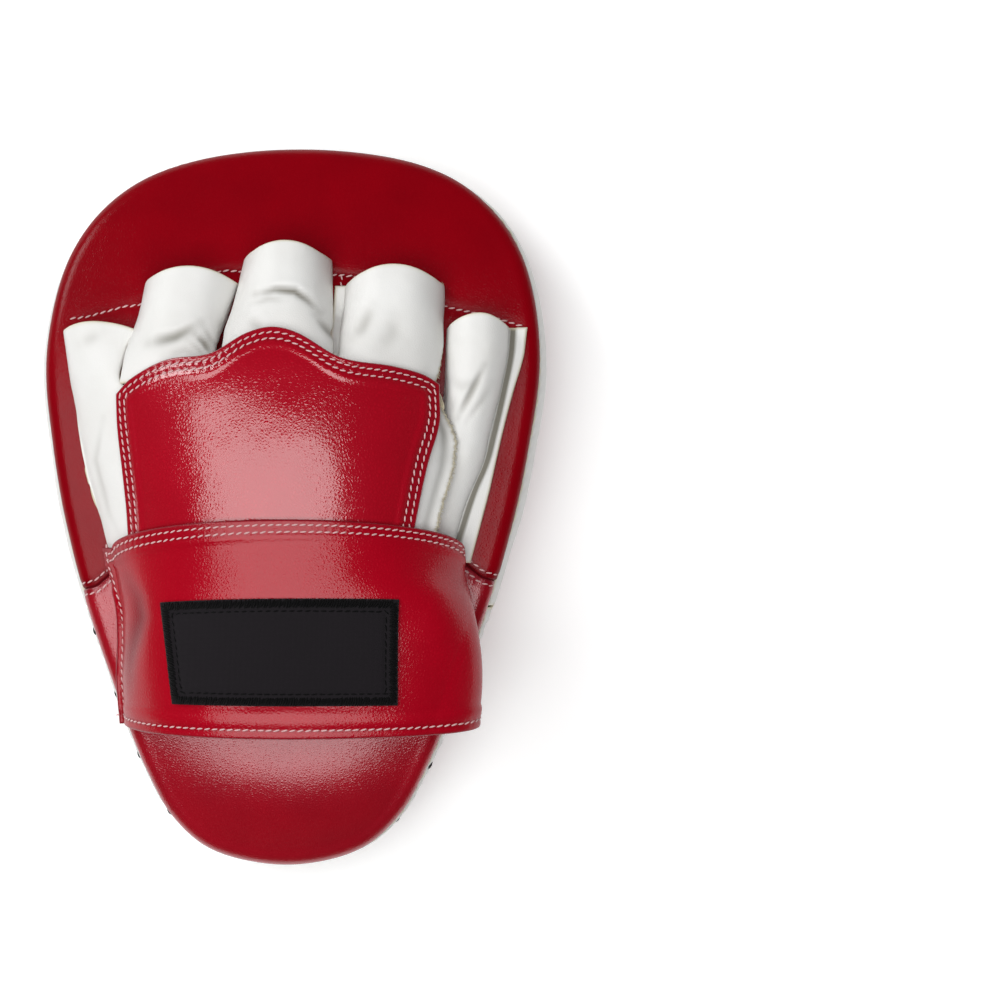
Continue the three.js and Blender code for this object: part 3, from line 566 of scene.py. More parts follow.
# %% [markdown]
# ## How a piece of leather is cut and sewn
# Every piece goes through the same steps as on a cutter's bench. The surface gives its shape, a row of
# stitches runs at a set distance from chosen edges and pulls a shallow groove, a turned edge is a little
# thicker, and folds press long soft valleys. Rows of stitches are only noted here: they are sewn at the end,
# all with one Geometry Nodes tree.

# %% Rows of stitches along edges
THREAD_ROWS = {}
EDGES = ("first_column", "last_column", "first_row", "last_row")


def edge_runs(points):
    """Each grid point's distance along the grid to its four edges."""
    across = np.cumsum(np.linalg.norm(np.diff(points, axis=0), axis=-1), axis=0)
    across = np.concatenate([np.zeros_like(across[:1]), across], axis=0)
    down = np.cumsum(np.linalg.norm(np.diff(points, axis=1), axis=-1), axis=1)
    down = np.concatenate([np.zeros_like(down[:, :1]), down], axis=1)
    runs = {"first_column": across, "last_column": across[-1:] - across}
    runs.update({"first_row": down, "last_row": down[:, -1:] - down})
    return runs


def sample(grid, column, row):
    """A grid's value between its points."""
    c = np.clip(column.astype(int), 0, grid.shape[0] - 2)
    r = np.clip(row.astype(int), 0, grid.shape[1] - 2)
    s = (column - c)[:, None]
    t = (row - r)[:, None]
    upper = grid[c, r] * (1 - s) + grid[c + 1, r] * s
    lower = grid[c, r + 1] * (1 - s) + grid[c + 1, r + 1] * s
    return upper * (1 - t) + lower * t


def row_beside(runs, edge, inset, others=()):
    """Grid places of a line at a distance from one edge, kept as far from the other edges."""
    run = runs[edge]
    by_column = edge.endswith("row")
    lines = run if by_column else run.T
    if edge.startswith("last"):
        lines = lines[:, ::-1]
    along = np.arange(len(lines), dtype=float)
    place = np.array([np.interp(inset, line, np.arange(len(line))) for line in lines])
    if edge.startswith("last"):
        place = lines.shape[1] - 1 - place
    column, row = (along, place) if by_column else (place, along)
    keep = np.ones(len(along), bool)
    for other in others:
        keep &= sample(runs[other][..., None], column, row)[:, 0] >= inset
    return column[keep], row[keep]


def stitch_line(runs, inset, edges):
    """One row that follows several edges in turn, at one distance from all of them."""
    parts = []
    for k, edge in enumerate(edges):
        column, row = row_beside(runs, edge, inset, [other for other in edges if other != edge])
        if parts and len(column):
            start = np.array([parts[-1][0][-1], parts[-1][1][-1]])
            first = np.hypot(column[0] - start[0], row[0] - start[1])
            last = np.hypot(column[-1] - start[0], row[-1] - start[1])
            if last < first:
                column, row = column[::-1], row[::-1]
        elif len(edges) > 1 and len(column):
            following = row_beside(runs, edges[k + 1], inset, [edge])
            near_first = np.hypot(column[0] - following[0], row[0] - following[1]).min()
            near_last = np.hypot(column[-1] - following[0], row[-1] - following[1]).min()
            if near_first < near_last:
                column, row = column[::-1], row[::-1]
        parts.append((column, row))
    return np.concatenate([p[0] for p in parts]), np.concatenate([p[1] for p in parts])


def edge_reach(runs, edges):
    return np.minimum.reduce([np.broadcast_to(runs[edge], runs["first_row"].shape) for edge in edges])


STITCH_PITCH = 2.85
GROOVE_DEPTH = 0.45
GROOVE_WIDTH = 1.0


def groove(runs, inset, edges):
    """The valley that a row of stitches pulls, deepest at the needle holes."""
    away = np.abs(edge_reach(runs, edges) - inset)
    columns = [e for e in edges if e.endswith("column")]
    rows = [e for e in edges if e.endswith("row")]
    beside_column = np.zeros(away.shape, bool)
    if columns and rows:
        beside_column = edge_reach(runs, columns) < edge_reach(runs, rows)
    elif columns:
        beside_column[:] = True
    along = np.where(beside_column, runs["first_row"], runs["first_column"])
    pull = 0.75 + 0.25 * np.cos(2 * math.pi * along / STITCH_PITCH)
    return -GROOVE_DEPTH * np.exp(-((away / GROOVE_WIDTH) ** 2)) * pull


def turned_edge(runs, edges, width, rise):
    """A turned edge is two layers thick: a low step at some distance from the edges."""
    return rise * (1 - smooth((edge_reach(runs, edges) - width) / 2.0))


def line_distance(points, path):
    """Distance in plan from each point to a line of plan points, and the share along that line."""
    path = np.asarray(path, float)
    spans = np.linalg.norm(np.diff(path, axis=0), axis=1)
    started = np.concatenate([[0], np.cumsum(spans)])
    best = np.full(points.shape[:-1], 1e9)
    share = np.zeros(points.shape[:-1])
    for k, (a, b) in enumerate(zip(path[:-1], path[1:])):
        t = np.clip(((points[..., :2] - a) @ (b - a)) / (spans[k] ** 2), 0, 1)
        away = np.linalg.norm(points[..., :2] - a - t[..., None] * (b - a), axis=-1)
        nearer = away < best
        best = np.where(nearer, away, best)
        share = np.where(nearer, (started[k] + t * spans[k]) / started[-1], share)
    return best, share


def folded(points, folds):
    """Soft valleys or ridges along plan lines: each fold is its line, half width and height."""
    total = np.zeros(points.shape[:-1])
    for path, width, height in folds:
        away, share = line_distance(points, path)
        total += height * np.exp(-((away / width) ** 2)) * np.sin(math.pi * np.clip(share, 0.08, 0.92))
    return total


# %% Cutting a sheet
def cut_sheet(name, surface, width, length, thickness, **made):
    """A closed sheet of leather over a surface. Keywords: lift, cell, round_edge, rows, turned, folds,
    rough, shape, rest, outward and cut_edges."""
    lift = made.get("lift", thickness)
    cell = made.get("cell", 1.0)
    rounding = made.get("round_edge", thickness * 0.5)
    u = edge_steps(width, cell, rounding)
    v = edge_steps(length, cell, rounding)
    base = surface(*np.meshgrid(u, v, indexing="ij"))
    runs = edge_runs(base)
    normal = made["outward"](base) if "outward" in made else normals_of(base)
    height = np.zeros(base.shape[:2])
    for size, depth, seed in made.get("rough", ((17.0, 0.3, 1), (6.0, 0.1, 2))):
        height += depth * noise(base, size, seed)
    if "turned" in made:
        height += turned_edge(runs, *made["turned"])
    painted_shade = np.zeros_like(height)
    for group, inset, edges in made.get("rows", ()):
        pulled = groove(runs, inset, edges)
        height += pulled
        # Painted shade: each stitch groove is darkened as deep as it is pulled.
        painted_shade -= pulled
    if "folds" in made:
        pressed = folded(base, made["folds"])
        height += pressed
        # Painted shade: the valleys of folds are darkened, as shade falls in them.
        painted_shade += np.clip(-pressed, 0, None) * 0.7
    if "shape" in made:
        base, height, painted_shade = made["shape"](base, runs, height, painted_shade)
    cut = edge_reach(runs, made.get("cut_edges", EDGES))
    full = np.sqrt(np.clip(1 - (1 - np.clip(cut / rounding, 0.02, 1)) ** 2, 0, 1))
    top = base + normal * (lift + height - thickness / 2 * (1 - full))[..., None]
    under = top - normal * (thickness * full)[..., None]
    rest = made.get("rest", LAYER_GAP)
    if rest is not None:
        floor = cover_top(under[..., 0], under[..., 1])
        under[..., 2] = np.maximum(under[..., 2], floor + rest)
        floor = cover_top(top[..., 0], top[..., 1])
        top[..., 2] = np.maximum(top[..., 2], floor + rest + thickness * full)
    for group, inset, edges in made.get("rows", ()):
        column, row = stitch_line(runs, inset, edges)
        line_up = sample(normal, column, row)
        THREAD_ROWS.setdefault(group, []).append((sample(top, column, row), line_up))
    points = np.concatenate([under.reshape(-1, 3), top.reshape(-1, 3)])
    faces = sheet_faces(*base.shape[:2])
    faces = face_out(points, faces)
    edge = np.clip(1 - cut / (0.75 * thickness), 0, 1)
    attributes = {
        "edge": np.concatenate([edge.ravel(), edge.ravel()]),
        # The second attribute is shade painted into grooves, folds and pinches.
        "painted_shade": np.concatenate([np.zeros(painted_shade.size), painted_shade.ravel()]),
    }
    u_grid, v_grid = np.meshgrid(u * width * MM, v * length * MM, indexing="ij")
    uv = np.stack([u_grid, v_grid], axis=-1).reshape(-1, 2)
    made_object = mesh_object(name, points, faces, attributes, np.concatenate([uv, uv]))
    print(name, "has", len(made_object.data.polygons), "faces")
    return made_object


def weld(piece, distance=0.00001):
    """Joins points that fell together, as at a fan's middle."""
    work = bmesh.new()
    work.from_mesh(piece.data)
    bmesh.ops.remove_doubles(work, verts=work.verts, dist=distance)
    bmesh.ops.dissolve_degenerate(work, edges=work.edges, dist=distance / 10)
    work.to_mesh(piece.data)
    work.free()
    piece.data.update()


print("ready to cut")

# %% [markdown]
# ## Materials
# A finish begins with what the real thing is. Top-grain leather is dyed through and topped with a clear
# acrylic coat, so its colour is deep and even while its gloss is broken up by the grain. One function makes
# every leather here: only the colour, the size of the pebbles and the gloss change.

# %% Node helpers
def linear(code):
    """An sRGB hex colour as linear values."""
    channels = [int(code[k : k + 2], 16) / 255 for k in (0, 2, 4)]
    return (*(c / 12.92 if c <= 0.04045 else ((c + 0.055) / 1.055) ** 2.4 for c in channels), 1.0)


def add_node(tree, kind, inputs=None, **settings):
    """Adds a node. Inputs given as sockets are linked, and all others are set."""
    made = tree.nodes.new(kind)
    for key, value in settings.items():
        setattr(made, key, value)
    for key, value in (inputs or {}).items():
        if isinstance(value, bpy.types.NodeSocket):
            tree.links.new(value, made.inputs[key])
        else:
            made.inputs[key].default_value = value
    return made


def new_material(name):
    made = bpy.data.materials.new(name)
    made.use_nodes = True
    made.node_tree.nodes.clear()
    return made, made.node_tree


def finish_material(tree, shader):
    add_node(tree, "ShaderNodeOutputMaterial", {"Surface": shader.outputs["BSDF"]})


# %% Leather
def leather(name, colour, deep, crease_shade_colour, raw, **look):
    """Coated leather: pebbles parted by fine valleys, darkened with painted shade in its grooves, folds and
    pinches, and raw at a cut edge.
    """
    made, tree = new_material(name)
    place = add_node(tree, "ShaderNodeTexCoord").outputs["Object"]
    pebble_size = look["pebble"] * MM
    bend_noise = add_node(
        tree, "ShaderNodeTexNoise", {"Vector": place, "Scale": 0.5 / pebble_size, "Detail": 2.0}
    )
    bent = add_node(
        tree,
        "ShaderNodeVectorMath",
        {0: bend_noise.outputs["Color"], 1: (pebble_size * 0.9,) * 3, 2: place},
        operation="MULTIPLY_ADD",
    )
    pebbles = add_node(
        tree,
        "ShaderNodeTexVoronoi",
        {"Vector": bent.outputs["Vector"], "Scale": 1 / pebble_size},
        feature="DISTANCE_TO_EDGE",
    )
    plateau = add_node(
        tree,
        "ShaderNodeMapRange",
        {"Value": pebbles.outputs["Distance"], "From Min": 0.0, "From Max": 0.5},
        interpolation_type="SMOOTHSTEP",
    )
    fine = add_node(
        tree, "ShaderNodeTexNoise", {"Vector": place, "Scale": 2.2 / pebble_size, "Detail": 3.0}
    )
    broad = add_node(tree, "ShaderNodeTexNoise", {"Vector": place, "Scale": 45.0, "Detail": 3.0})
    grain = add_node(
        tree,
        "ShaderNodeBump",
        {"Height": plateau.outputs["Result"], "Strength": 1.0, "Distance": look["depth"] * MM},
    )
    pores = add_node(
        tree,
        "ShaderNodeBump",
        {
            "Height": fine.outputs["Fac"],
            "Strength": 1.0,
            "Distance": look["depth"] * 0.2 * MM,
            "Normal": grain.outputs["Normal"],
        },
    )
    slow = add_node(
        tree,
        "ShaderNodeMapRange",
        {"Value": broad.outputs["Fac"], "From Min": 0.3, "From Max": 0.7, "To Max": 0.6},
    )
    shade = add_node(
        tree,
        "ShaderNodeMix",
        {"Factor": slow.outputs["Result"], "A": linear(colour), "B": linear(deep)},
        data_type="RGBA",
    )
    valley = add_node(
        tree,
        "ShaderNodeMapRange",
        {"Value": plateau.outputs["Result"], "To Min": look.get("valley", 0.25), "To Max": 0.0},
    )
    grained = add_node(
        tree,
        "ShaderNodeMix",
        {"Factor": valley.outputs["Result"], "A": shade.outputs["Result"], "B": linear(deep)},
        data_type="RGBA",
    )
    # Painted shade: grooves, folds and pinches are darkened towards the crease colour.
    painted_shade = add_node(tree, "ShaderNodeAttribute", attribute_name="painted_shade")
    crease_shaded = add_node(
        tree,
        "ShaderNodeMix",
        {"Factor": painted_shade.outputs["Fac"], "A": grained.outputs["Result"], "B": linear(crease_shade_colour)},
        data_type="RGBA",
    )
    edge = add_node(tree, "ShaderNodeAttribute", attribute_name="edge")
    cut = add_node(
        tree,
        "ShaderNodeMix",
        {"Factor": edge.outputs["Fac"], "A": crease_shaded.outputs["Result"], "B": linear(raw)},
        data_type="RGBA",
    )
    polish = add_node(
        tree,
        "ShaderNodeMapRange",
        {
            "Value": fine.outputs["Fac"],
            "From Min": 0.3,
            "From Max": 0.7,
            "To Min": look["roughness"] - 0.05,
            "To Max": look["roughness"] + 0.08,
        },
    )
    shader = add_node(
        tree,
        "ShaderNodeBsdfPrincipled",
        {
            "Base Color": cut.outputs["Result"],
            "Roughness": polish.outputs["Result"],
            "Normal": pores.outputs["Normal"],
            "IOR": 1.5,
            "Specular IOR Level": look.get("specular", 0.5),
            "Specular Tint": linear(look.get("undertone", "FFFFFF")),
            "Coat Weight": look.get("coat", 0.0),
            "Coat Roughness": look.get("polish", 0.17),
            "Coat IOR": look.get("coat_ior", 1.5),
            "Coat Normal": grain.outputs["Normal"],
        },
    )
    finish_material(tree, shader)
    return made


# Glove leather is goat or cow hide with a pebbled grain, so its highlights are made of small bright dots.
# Under its clear coat the dye itself shines red, so a wide crimson glow lies round every highlight.
RED_UNDERTONE = "FF3C64"
# Each leather's colours are its dye, its deeper tone, a painted crease shade and its raw cut edge.
GLOVE_DYE_AND_CREASE_SHADE = ("B2001B", "9E0015", "5A0410", "7A1420")
glove_red = leather(
    "pebbled_red_leather", *GLOVE_DYE_AND_CREASE_SHADE, pebble=1.2, depth=0.038, roughness=0.5, valley=0.7,
    specular=0.6, undertone=RED_UNDERTONE, coat=1.0, coat_ior=1.68, polish=0.13,
)
# The cuff is the same leather, but handling has dulled its top coat.
cuff_red = leather(
    "handled_red_leather", *GLOVE_DYE_AND_CREASE_SHADE, pebble=1.2, depth=0.045, roughness=0.5, valley=0.55,
    specular=0.4, undertone=RED_UNDERTONE, coat=0.3, coat_ior=1.8, polish=0.18,
)
# The pad's back is a smoother side of the same hide. Its upper panel and its tip are lit and shaded copies of
# one leather: the upper panel is painted darker as painted shade, and the tip brighter as painted light.
shaded_back_red = leather(
    "smooth_red_leather_painted_shade", "8E000E", "7C000C", "4A030C", "6A1018", pebble=1.0, depth=0.03, roughness=0.5,
    specular=0.1, undertone=RED_UNDERTONE, coat=0.28, polish=0.2,
)
lit_tip_red = leather(
    "smooth_tip_leather_painted_light", "A20014", "8C0010", "4A030C", "6A1018", pebble=1.0, depth=0.04, roughness=0.5,
    specular=1.0, undertone=RED_UNDERTONE, coat=1.0, coat_ior=1.6, polish=0.2,
)
# The striking face is a tougher embossed leather: its grain is coarser and its gloss lower.
face_red = leather(
    "embossed_face_leather", "8E1A22", "6E1018", "4A0A10", "6A1A20",
    pebble=1.4, depth=0.09, roughness=0.5,
)
# White glove leather is soft and thin. Its folds are greyed with painted shade, and its cut edge shows the
# cream flesh side.
soft_white = leather(
    "soft_white_leather", "F0F0EE", "E6E5E1", "787468", "DCD2B4",
    pebble=0.8, depth=0.03, roughness=0.5, valley=0.12,
)


# %% Thread, lace, label and foam
def thread_material(name, colour, shade, twist, gloss=0.3):
    """Bonded polyester thread: three plies twisted together, soft in its gloss."""
    made, tree = new_material(name)
    place = add_node(tree, "ShaderNodeTexCoord").outputs["Object"]
    plies = add_node(
        tree,
        "ShaderNodeTexWave",
        {"Vector": place, "Scale": 1 / (twist * MM), "Distortion": 2.0, "Detail": 2.0},
        bands_direction="DIAGONAL",
    )
    tint = add_node(
        tree,
        "ShaderNodeMix",
        {"Factor": plies.outputs["Fac"], "A": linear(shade), "B": linear(colour)},
        data_type="RGBA",
    )
    relief = add_node(
        tree, "ShaderNodeBump", {"Height": plies.outputs["Fac"], "Strength": 0.6, "Distance": 0.08 * MM}
    )
    shader = add_node(
        tree,
        "ShaderNodeBsdfPrincipled",
        {
            "Base Color": tint.outputs["Result"],
            "Normal": relief.outputs["Normal"],
            "Roughness": 0.55,
            "Specular IOR Level": gloss,
            "Sheen Weight": gloss / 3,
        },
    )
    finish_material(tree, shader)
    return made


def woven_material(name, colour, shade, warp, weft, coordinates):
    """Plain weave from two crossed waves. The real threads are finer: the pitch is what still shows."""
    made, tree = new_material(name)
    place = add_node(tree, "ShaderNodeTexCoord").outputs[coordinates]
    waves = [
        add_node(
            tree,
            "ShaderNodeTexWave",
            {"Vector": place, "Scale": 0.32 / (pitch * MM), "Distortion": 0.6, "Detail": 1.0},
            bands_direction=direction,
        )
        for pitch, direction in ((warp, "X"), (weft, "Y"))
    ]
    weave = add_node(
        tree,
        "ShaderNodeMath",
        {0: waves[0].outputs["Fac"], 1: waves[1].outputs["Fac"]},
        operation="MULTIPLY",
    )
    tint = add_node(
        tree,
        "ShaderNodeMix",
        {"Factor": weave.outputs["Value"], "A": linear(shade), "B": linear(colour)},
        data_type="RGBA",
    )
    relief = add_node(
        tree, "ShaderNodeBump", {"Height": weave.outputs["Value"], "Strength": 0.8, "Distance": 0.15 * MM}
    )
    shader = add_node(
        tree,
        "ShaderNodeBsdfPrincipled",
        {
            "Base Color": tint.outputs["Result"],
            "Normal": relief.outputs["Normal"],
            "Roughness": 0.8,
            "Specular IOR Level": 0.12,
            "Sheen Weight": 0.05,
        },
    )
    finish_material(tree, shader)
    return made


def foam_material():
    """Closed-cell EVA foam, cut with a blade: matt black with small open bubbles."""
    made, tree = new_material("black_cell_foam")
    place = add_node(tree, "ShaderNodeTexCoord").outputs["Object"]
    cells = add_node(tree, "ShaderNodeTexVoronoi", {"Vector": place, "Scale": 1 / (0.7 * MM)})
    relief = add_node(
        tree, "ShaderNodeBump", {"Height": cells.outputs["Distance"], "Strength": 0.7, "Distance": 0.2 * MM}
    )
    tint = add_node(
        tree,
        "ShaderNodeMix",
        {"Factor": cells.outputs["Distance"], "A": linear("0B0B0C"), "B": linear("242425")},
        data_type="RGBA",
    )
    shader = add_node(
        tree,
        "ShaderNodeBsdfPrincipled",
        {"Base Color": tint.outputs["Result"], "Normal": relief.outputs["Normal"], "Roughness": 0.9},
    )
    finish_material(tree, shader)
    return made


# The thread is white; its pink tint is painted light, red bounced from the leather round it.
white_thread_painted_pink = thread_material("white_thread_painted_pink", "F2D6D5", "D49A9C", twist=0.5)
black_thread = thread_material("black_thread", "0A090B", "010101", twist=0.5, gloss=0.1)
fray_thread = thread_material("flesh_fibre", "E6DFC8", "B5AC8E", twist=0.5)
lace_weave = woven_material("woven_lace", "232325", "09090A", 0.5, 0.5, "UV")
label_weave = woven_material("woven_label_cloth", "262126", "1B181B", 0.45, 0.45, "Object")
cell_foam = foam_material()
print("materials:", len(bpy.data.materials))

# %% [markdown]
# ## Covers
# Two leather covers close the pad. The back is sewn from two panels along an arched seam, so each panel is a
# fan of lines from the top of the arch to the rim, and the first and last lines follow the seam. The striking
# face is one piece, stretched over the foam and rolled round its rim.

# %% Back cover panels
SEAM_TOP = np.array([0.0, SEAM_HEIGHT])
SEAM_SPREAD = 110.0
DISC_SHARE = 0.9
TIP_DOME = 5.5
TIP_PLACE = (0.0, -112.0)
TIP_SPREAD = (46.0, 26.0)


def tip_dome(x, y, reach):
    """The foam stands a little higher under the tip, and falls to the rim."""
    away = ((x - TIP_PLACE[0]) / TIP_SPREAD[0]) ** 2 + ((y - TIP_PLACE[1]) / TIP_SPREAD[1]) ** 2
    return TIP_DOME * np.exp(-away) * (1 - reach**6)


def seam_line(x):
    return SEAM_HEIGHT - SEAM_DROP * (x / HALF_WIDTH) ** 2


def seam_share(side):
    shares = np.linspace(0.0, 0.5, 4001) * side
    x, y = outline_point(shares, RIM_INSET + BACK_RIM_RADIUS)
    return shares[np.argmin(np.abs(y - seam_line(x)))]


SEAM_RIGHT = seam_share(1)
SEAM_LEFT = seam_share(-1)


def fan_surface(start, stop):
    def surface(u, v):
        share = mix(start, stop, u)
        reach = np.minimum(1, v / DISC_SHARE)
        turn = np.maximum(0, (v - DISC_SHARE) / (1 - DISC_SHARE)) * math.pi / 2
        edge_x, edge_y = outline_point(share, RIM_INSET + BACK_RIM_RADIUS)
        x = mix(SEAM_TOP[0], edge_x, reach)
        y = mix(SEAM_TOP[1], edge_y, reach)
        for end in (start, stop):
            end_x, end_y = outline_point(end, RIM_INSET + BACK_RIM_RADIUS)
            ray_x = mix(SEAM_TOP[0], end_x, reach)
            ray_y = mix(SEAM_TOP[1], end_y, reach)
            near = 1 - smooth(np.abs(share - end) * OUTLINE_LENGTH / SEAM_SPREAD)
            y = y + near * (seam_line(ray_x) - ray_y) * (reach < 1)
        flat = bend(x, y, cover_height(x, y) + tip_dome(x, y, reach))
        inset = RIM_INSET + BACK_RIM_RADIUS * (1 - np.sin(turn))
        rolled = EDGE_FALL + (BACK_RIM_RADIUS - EDGE_FALL) * (1 - np.cos(turn))
        rim = pad_point(share, inset, PAD_THICKNESS - rolled)
        return np.where((turn > 0)[..., None], rim, flat)

    return surface


def open_seam(edges):
    def shape(base, runs, height, painted_shade):
        # The seam's dip is lowered and darkened with painted shade.
        dip = np.exp(-((edge_reach(runs, edges) / 1.1) ** 2))
        return base, height - 0.5 * dip, painted_shade + 0.5 * dip

    return shape


def lay_row(group, plan_line, lift=0.0):
    """Notes a row of stitches that follows a line drawn on the back cover."""
    plan_line = np.asarray(plan_line, float)
    run = np.concatenate([[0], np.cumsum(np.linalg.norm(np.diff(plan_line, axis=0), axis=1))])
    fine = np.arange(0, run[-1], 1.0)
    x, y = (np.interp(fine, run, plan_line[:, k]) for k in (0, 1))
    path = on_cover(x, y, lift)
    THREAD_ROWS.setdefault(group, []).append((path, np.tile([0.0, 0.0, 1.0], (len(path), 1))))


# The stalls' lining is sewn down behind their mouths, in one line that dips between the fingers.
ARCH_ROW = (
    (-82.5, 70.1), (-77.7, 70.5), (-69.6, 72.7), (-62.6, 74.6), (-58.9, 74.8), (-48.0, 78.0), (-40.0, 83.0),
    (-31.6, 86.6), (-25.7, 87.9), (-16.7, 87.3), (0.0, 86.5), (13.0, 86.2), (17.5, 86.2), (26.0, 85.1),
    (40.0, 80.5), (53.9, 75.0), (59.5, 73.5), (66.6, 72.1), (76.2, 69.7), (84.0, 67.3),
)
BETWEEN_ROW = ((17.3, 85.5), (17.2, 80.6), (17.1, 76.0))
for line in (ARCH_ROW, BETWEEN_ROW):
    lay_row("cover_thread", line, lift=0.1)

SEAM_EDGES = ("first_column", "last_column")
FAN_CUT = ("first_column", "last_column", "last_row")
SEAM_ROWS = tuple(("cover_thread", 2.2, (edge,)) for edge in SEAM_EDGES)
back_upper = cut_sheet(
    "back_leather_upper", fan_surface(SEAM_LEFT, SEAM_RIGHT), 430.0, 105.0, COVER_LEATHER,
    lift=0.0, cell=1.3, rest=None, rows=SEAM_ROWS, shape=open_seam(SEAM_EDGES), cut_edges=FAN_CUT,
    folds=((ARCH_ROW, 1.6, -0.45),), rough=((38.0, 0.35, 3), (14.0, 0.08, 4)),
)
back_lower = cut_sheet(
    "back_leather_lower", fan_surface(SEAM_RIGHT, 1 + SEAM_LEFT), 300.0, 105.0, COVER_LEATHER,
    lift=0.0, cell=1.3, rest=None, rows=SEAM_ROWS, shape=open_seam(SEAM_EDGES), cut_edges=FAN_CUT,
    rough=((38.0, 0.4, 5), (14.0, 0.08, 6)),
)
for panel in (back_upper, back_lower):
    weld(panel)

# %% Shells round the pad
AROUND = 420


def shell(name, rings):
    """A closed shell through rings of points, whose first and last rings are poles."""
    count = rings[0].shape[0]
    points = np.vstack([rings[0][:1], *rings[1:-1], rings[-1][:1]])
    k = np.arange(count)
    after = (k + 1) % count
    last = len(rings) - 3
    faces = [np.stack([np.zeros(count, int), 1 + k, 1 + after], -1).tolist()]
    for ring in range(last):
        a = 1 + ring * count
        faces.append(np.stack([a + k, a + count + k, a + count + after, a + after], -1).tolist())
    end = len(points) - 1
    faces.append(np.stack([1 + last * count + k, np.full(count, end), 1 + last * count + after], -1).tolist())
    flat = [face for group in faces for face in group]
    volume = 0.0
    for face in flat:
        a, b, c = (points[i] for i in face[:3])
        volume += np.dot(a, np.cross(b, c))
    if volume < 0:
        flat = [face[::-1] for face in flat]
    mesh = bpy.data.meshes.new(name)
    mesh.from_pydata(((points + SHIFT) * MM).tolist(), [], flat)
    mesh.polygons.foreach_set("use_smooth", np.ones(len(mesh.polygons), bool))
    mesh.update()
    made = bpy.data.objects.new(name, mesh)
    bpy.context.scene.collection.objects.link(made)
    print(name, "has", len(flat), "faces")
    return made


ROUND_SHARES = np.arange(AROUND) / AROUND


def pad_ring(reach, inset, height, face_down=True):
    x, y = outline_point(ROUND_SHARES, inset)
    x = MIDDLE_X + (x - MIDDLE_X) * reach
    y = y * reach
    return bend(x, y, height if face_down else PAD_THICKNESS - height)


def cover_rings(radius, crown, depth, disc_steps, rim_steps, face_down):
    """Rings of a cover's layer at a depth under its outside, from the middle to the rim's edge."""
    fall = 0.0 if face_down else 1.0
    disc = [
        pad_ring(
            reach,
            RIM_INSET + radius,
            depth - crown * (1 - reach**2) + fall * edge_fall(reach),
            face_down,
        )
        for reach in np.linspace(0, 1, disc_steps)
    ]
    inner = radius - depth
    rim = [
        pad_ring(
            1.0,
            RIM_INSET + radius - inner * math.sin(turn),
            radius - (inner - fall * EDGE_FALL) * math.cos(turn),
            face_down,
        )
        for turn in np.linspace(0, math.pi / 2, rim_steps)[1:]
    ]
    return disc + rim


def pressed(rings, level):
    for ring in rings:
        ring[:, 2] = np.maximum(ring[:, 2], level)
    return rings


def waved(rings, size, depth, seed):
    """Leather is never quite even: heights vary a little from place to place."""
    for ring in rings:
        ring[:, 2] += depth * noise(ring, size, seed)
    return rings


face_outside = waved(cover_rings(FRONT_RIM_RADIUS, FRONT_CROWN, 0.0, 64, 16, True), 30.0, 0.3, 7)
face_inside = cover_rings(FRONT_RIM_RADIUS, FRONT_CROWN, COVER_LEATHER, 40, 10, True)
striking_face = shell(
    "striking_face_leather", pressed(face_outside, 0.0) + pressed(face_inside, COVER_LEATHER)[::-1]
)


FOAM_STEP_RUN = 12.0
FOAM_SHOULDER = 2.0


def foam_inset():
    run = FOAM_STEP_RUN / OUTLINE_LENGTH
    share = ROUND_SHARES
    slit_end = SLIT_LEFT + run
    opened = smooth((share - SLIT_RIGHT + run) / run) * smooth((slit_end - share) / run)
    return FOAM_DEPTH + (SLIT_DEPTH - FOAM_DEPTH) * opened


under_leather = COVER_LEATHER + GAP
foam_front = cover_rings(FRONT_RIM_RADIUS, FRONT_CROWN, under_leather, 30, 6, True)
foam_back = cover_rings(BACK_RIM_RADIUS, BACK_CROWN, under_leather, 30, 6, False)
foam_side = [
    pad_ring(1.0, foam_inset(), height)
    for height in np.linspace(FRONT_EDGE + FOAM_SHOULDER, BACK_EDGE - FOAM_SHOULDER, 14)
]
foam_block = shell(
    "foam_block", pressed(foam_front + foam_side + foam_back[::-1], COVER_LEATHER + LAYER_GAP + GAP)
)

# %% [markdown]
# ## Wall and hems
# White leather closes the pad's side. Round the finger half it is one band. Round the tip it parts into
# two hems with a slit between them, and a black lace whips the hems together, so each hem is drawn in at
# every turn of the lace.

# %% Wall
SHARE_GAP = GAP / OUTLINE_LENGTH
SLIT_LENGTH = (SLIT_LEFT - SLIT_RIGHT) * OUTLINE_LENGTH
LACE_TURNS = round(SLIT_LENGTH / LACE_PITCH)
TURN_SHARE = (SLIT_LEFT - SLIT_RIGHT) / LACE_TURNS


def wall_inset(height):
    share = (height - FRONT_EDGE) / (BACK_EDGE - FRONT_EDGE)
    return RIM_INSET * (2 * share - 1) ** 2


def band_surface(start, stop, low, high):
    def surface(u, v):
        share = mix(start, stop, u)
        height = mix(low(share), high(share), v)
        return pad_point(share, wall_inset(height), height)

    return surface


def scallop(share):
    return SCALLOP * np.cos(2 * math.pi * (share - SLIT_RIGHT) / TURN_SHARE)


def wall_normals(points):
    across = np.gradient(points, axis=0)
    up = np.gradient(points, axis=1)
    normal = np.cross(across, up)
    normal /= np.maximum(np.linalg.norm(normal, axis=-1, keepdims=True), 1e-9)
    outward = points - np.array([MIDDLE_X, 0.0, 0.0])
    return normal if (normal * outward)[..., :2].sum() > 0 else -normal


def gathered(pitch, depth, seed):
    """Small pinches along both long edges, where the wall is sewn to the covers, darkened with painted shade
    in their hollows.
    """

    def shape(base, runs, height, painted_shade):
        from_edge = edge_reach(runs, ("first_row", "last_row"))
        pinch = np.cos(2 * math.pi * runs["first_column"] / pitch + 2.0 * noise(base, 15.0, seed))
        near = np.exp(-((from_edge / 3.2) ** 2))
        return base, height + depth * near * (pinch - 1), painted_shade + 0.25 * near * (1 - pinch) / 2

    return shape


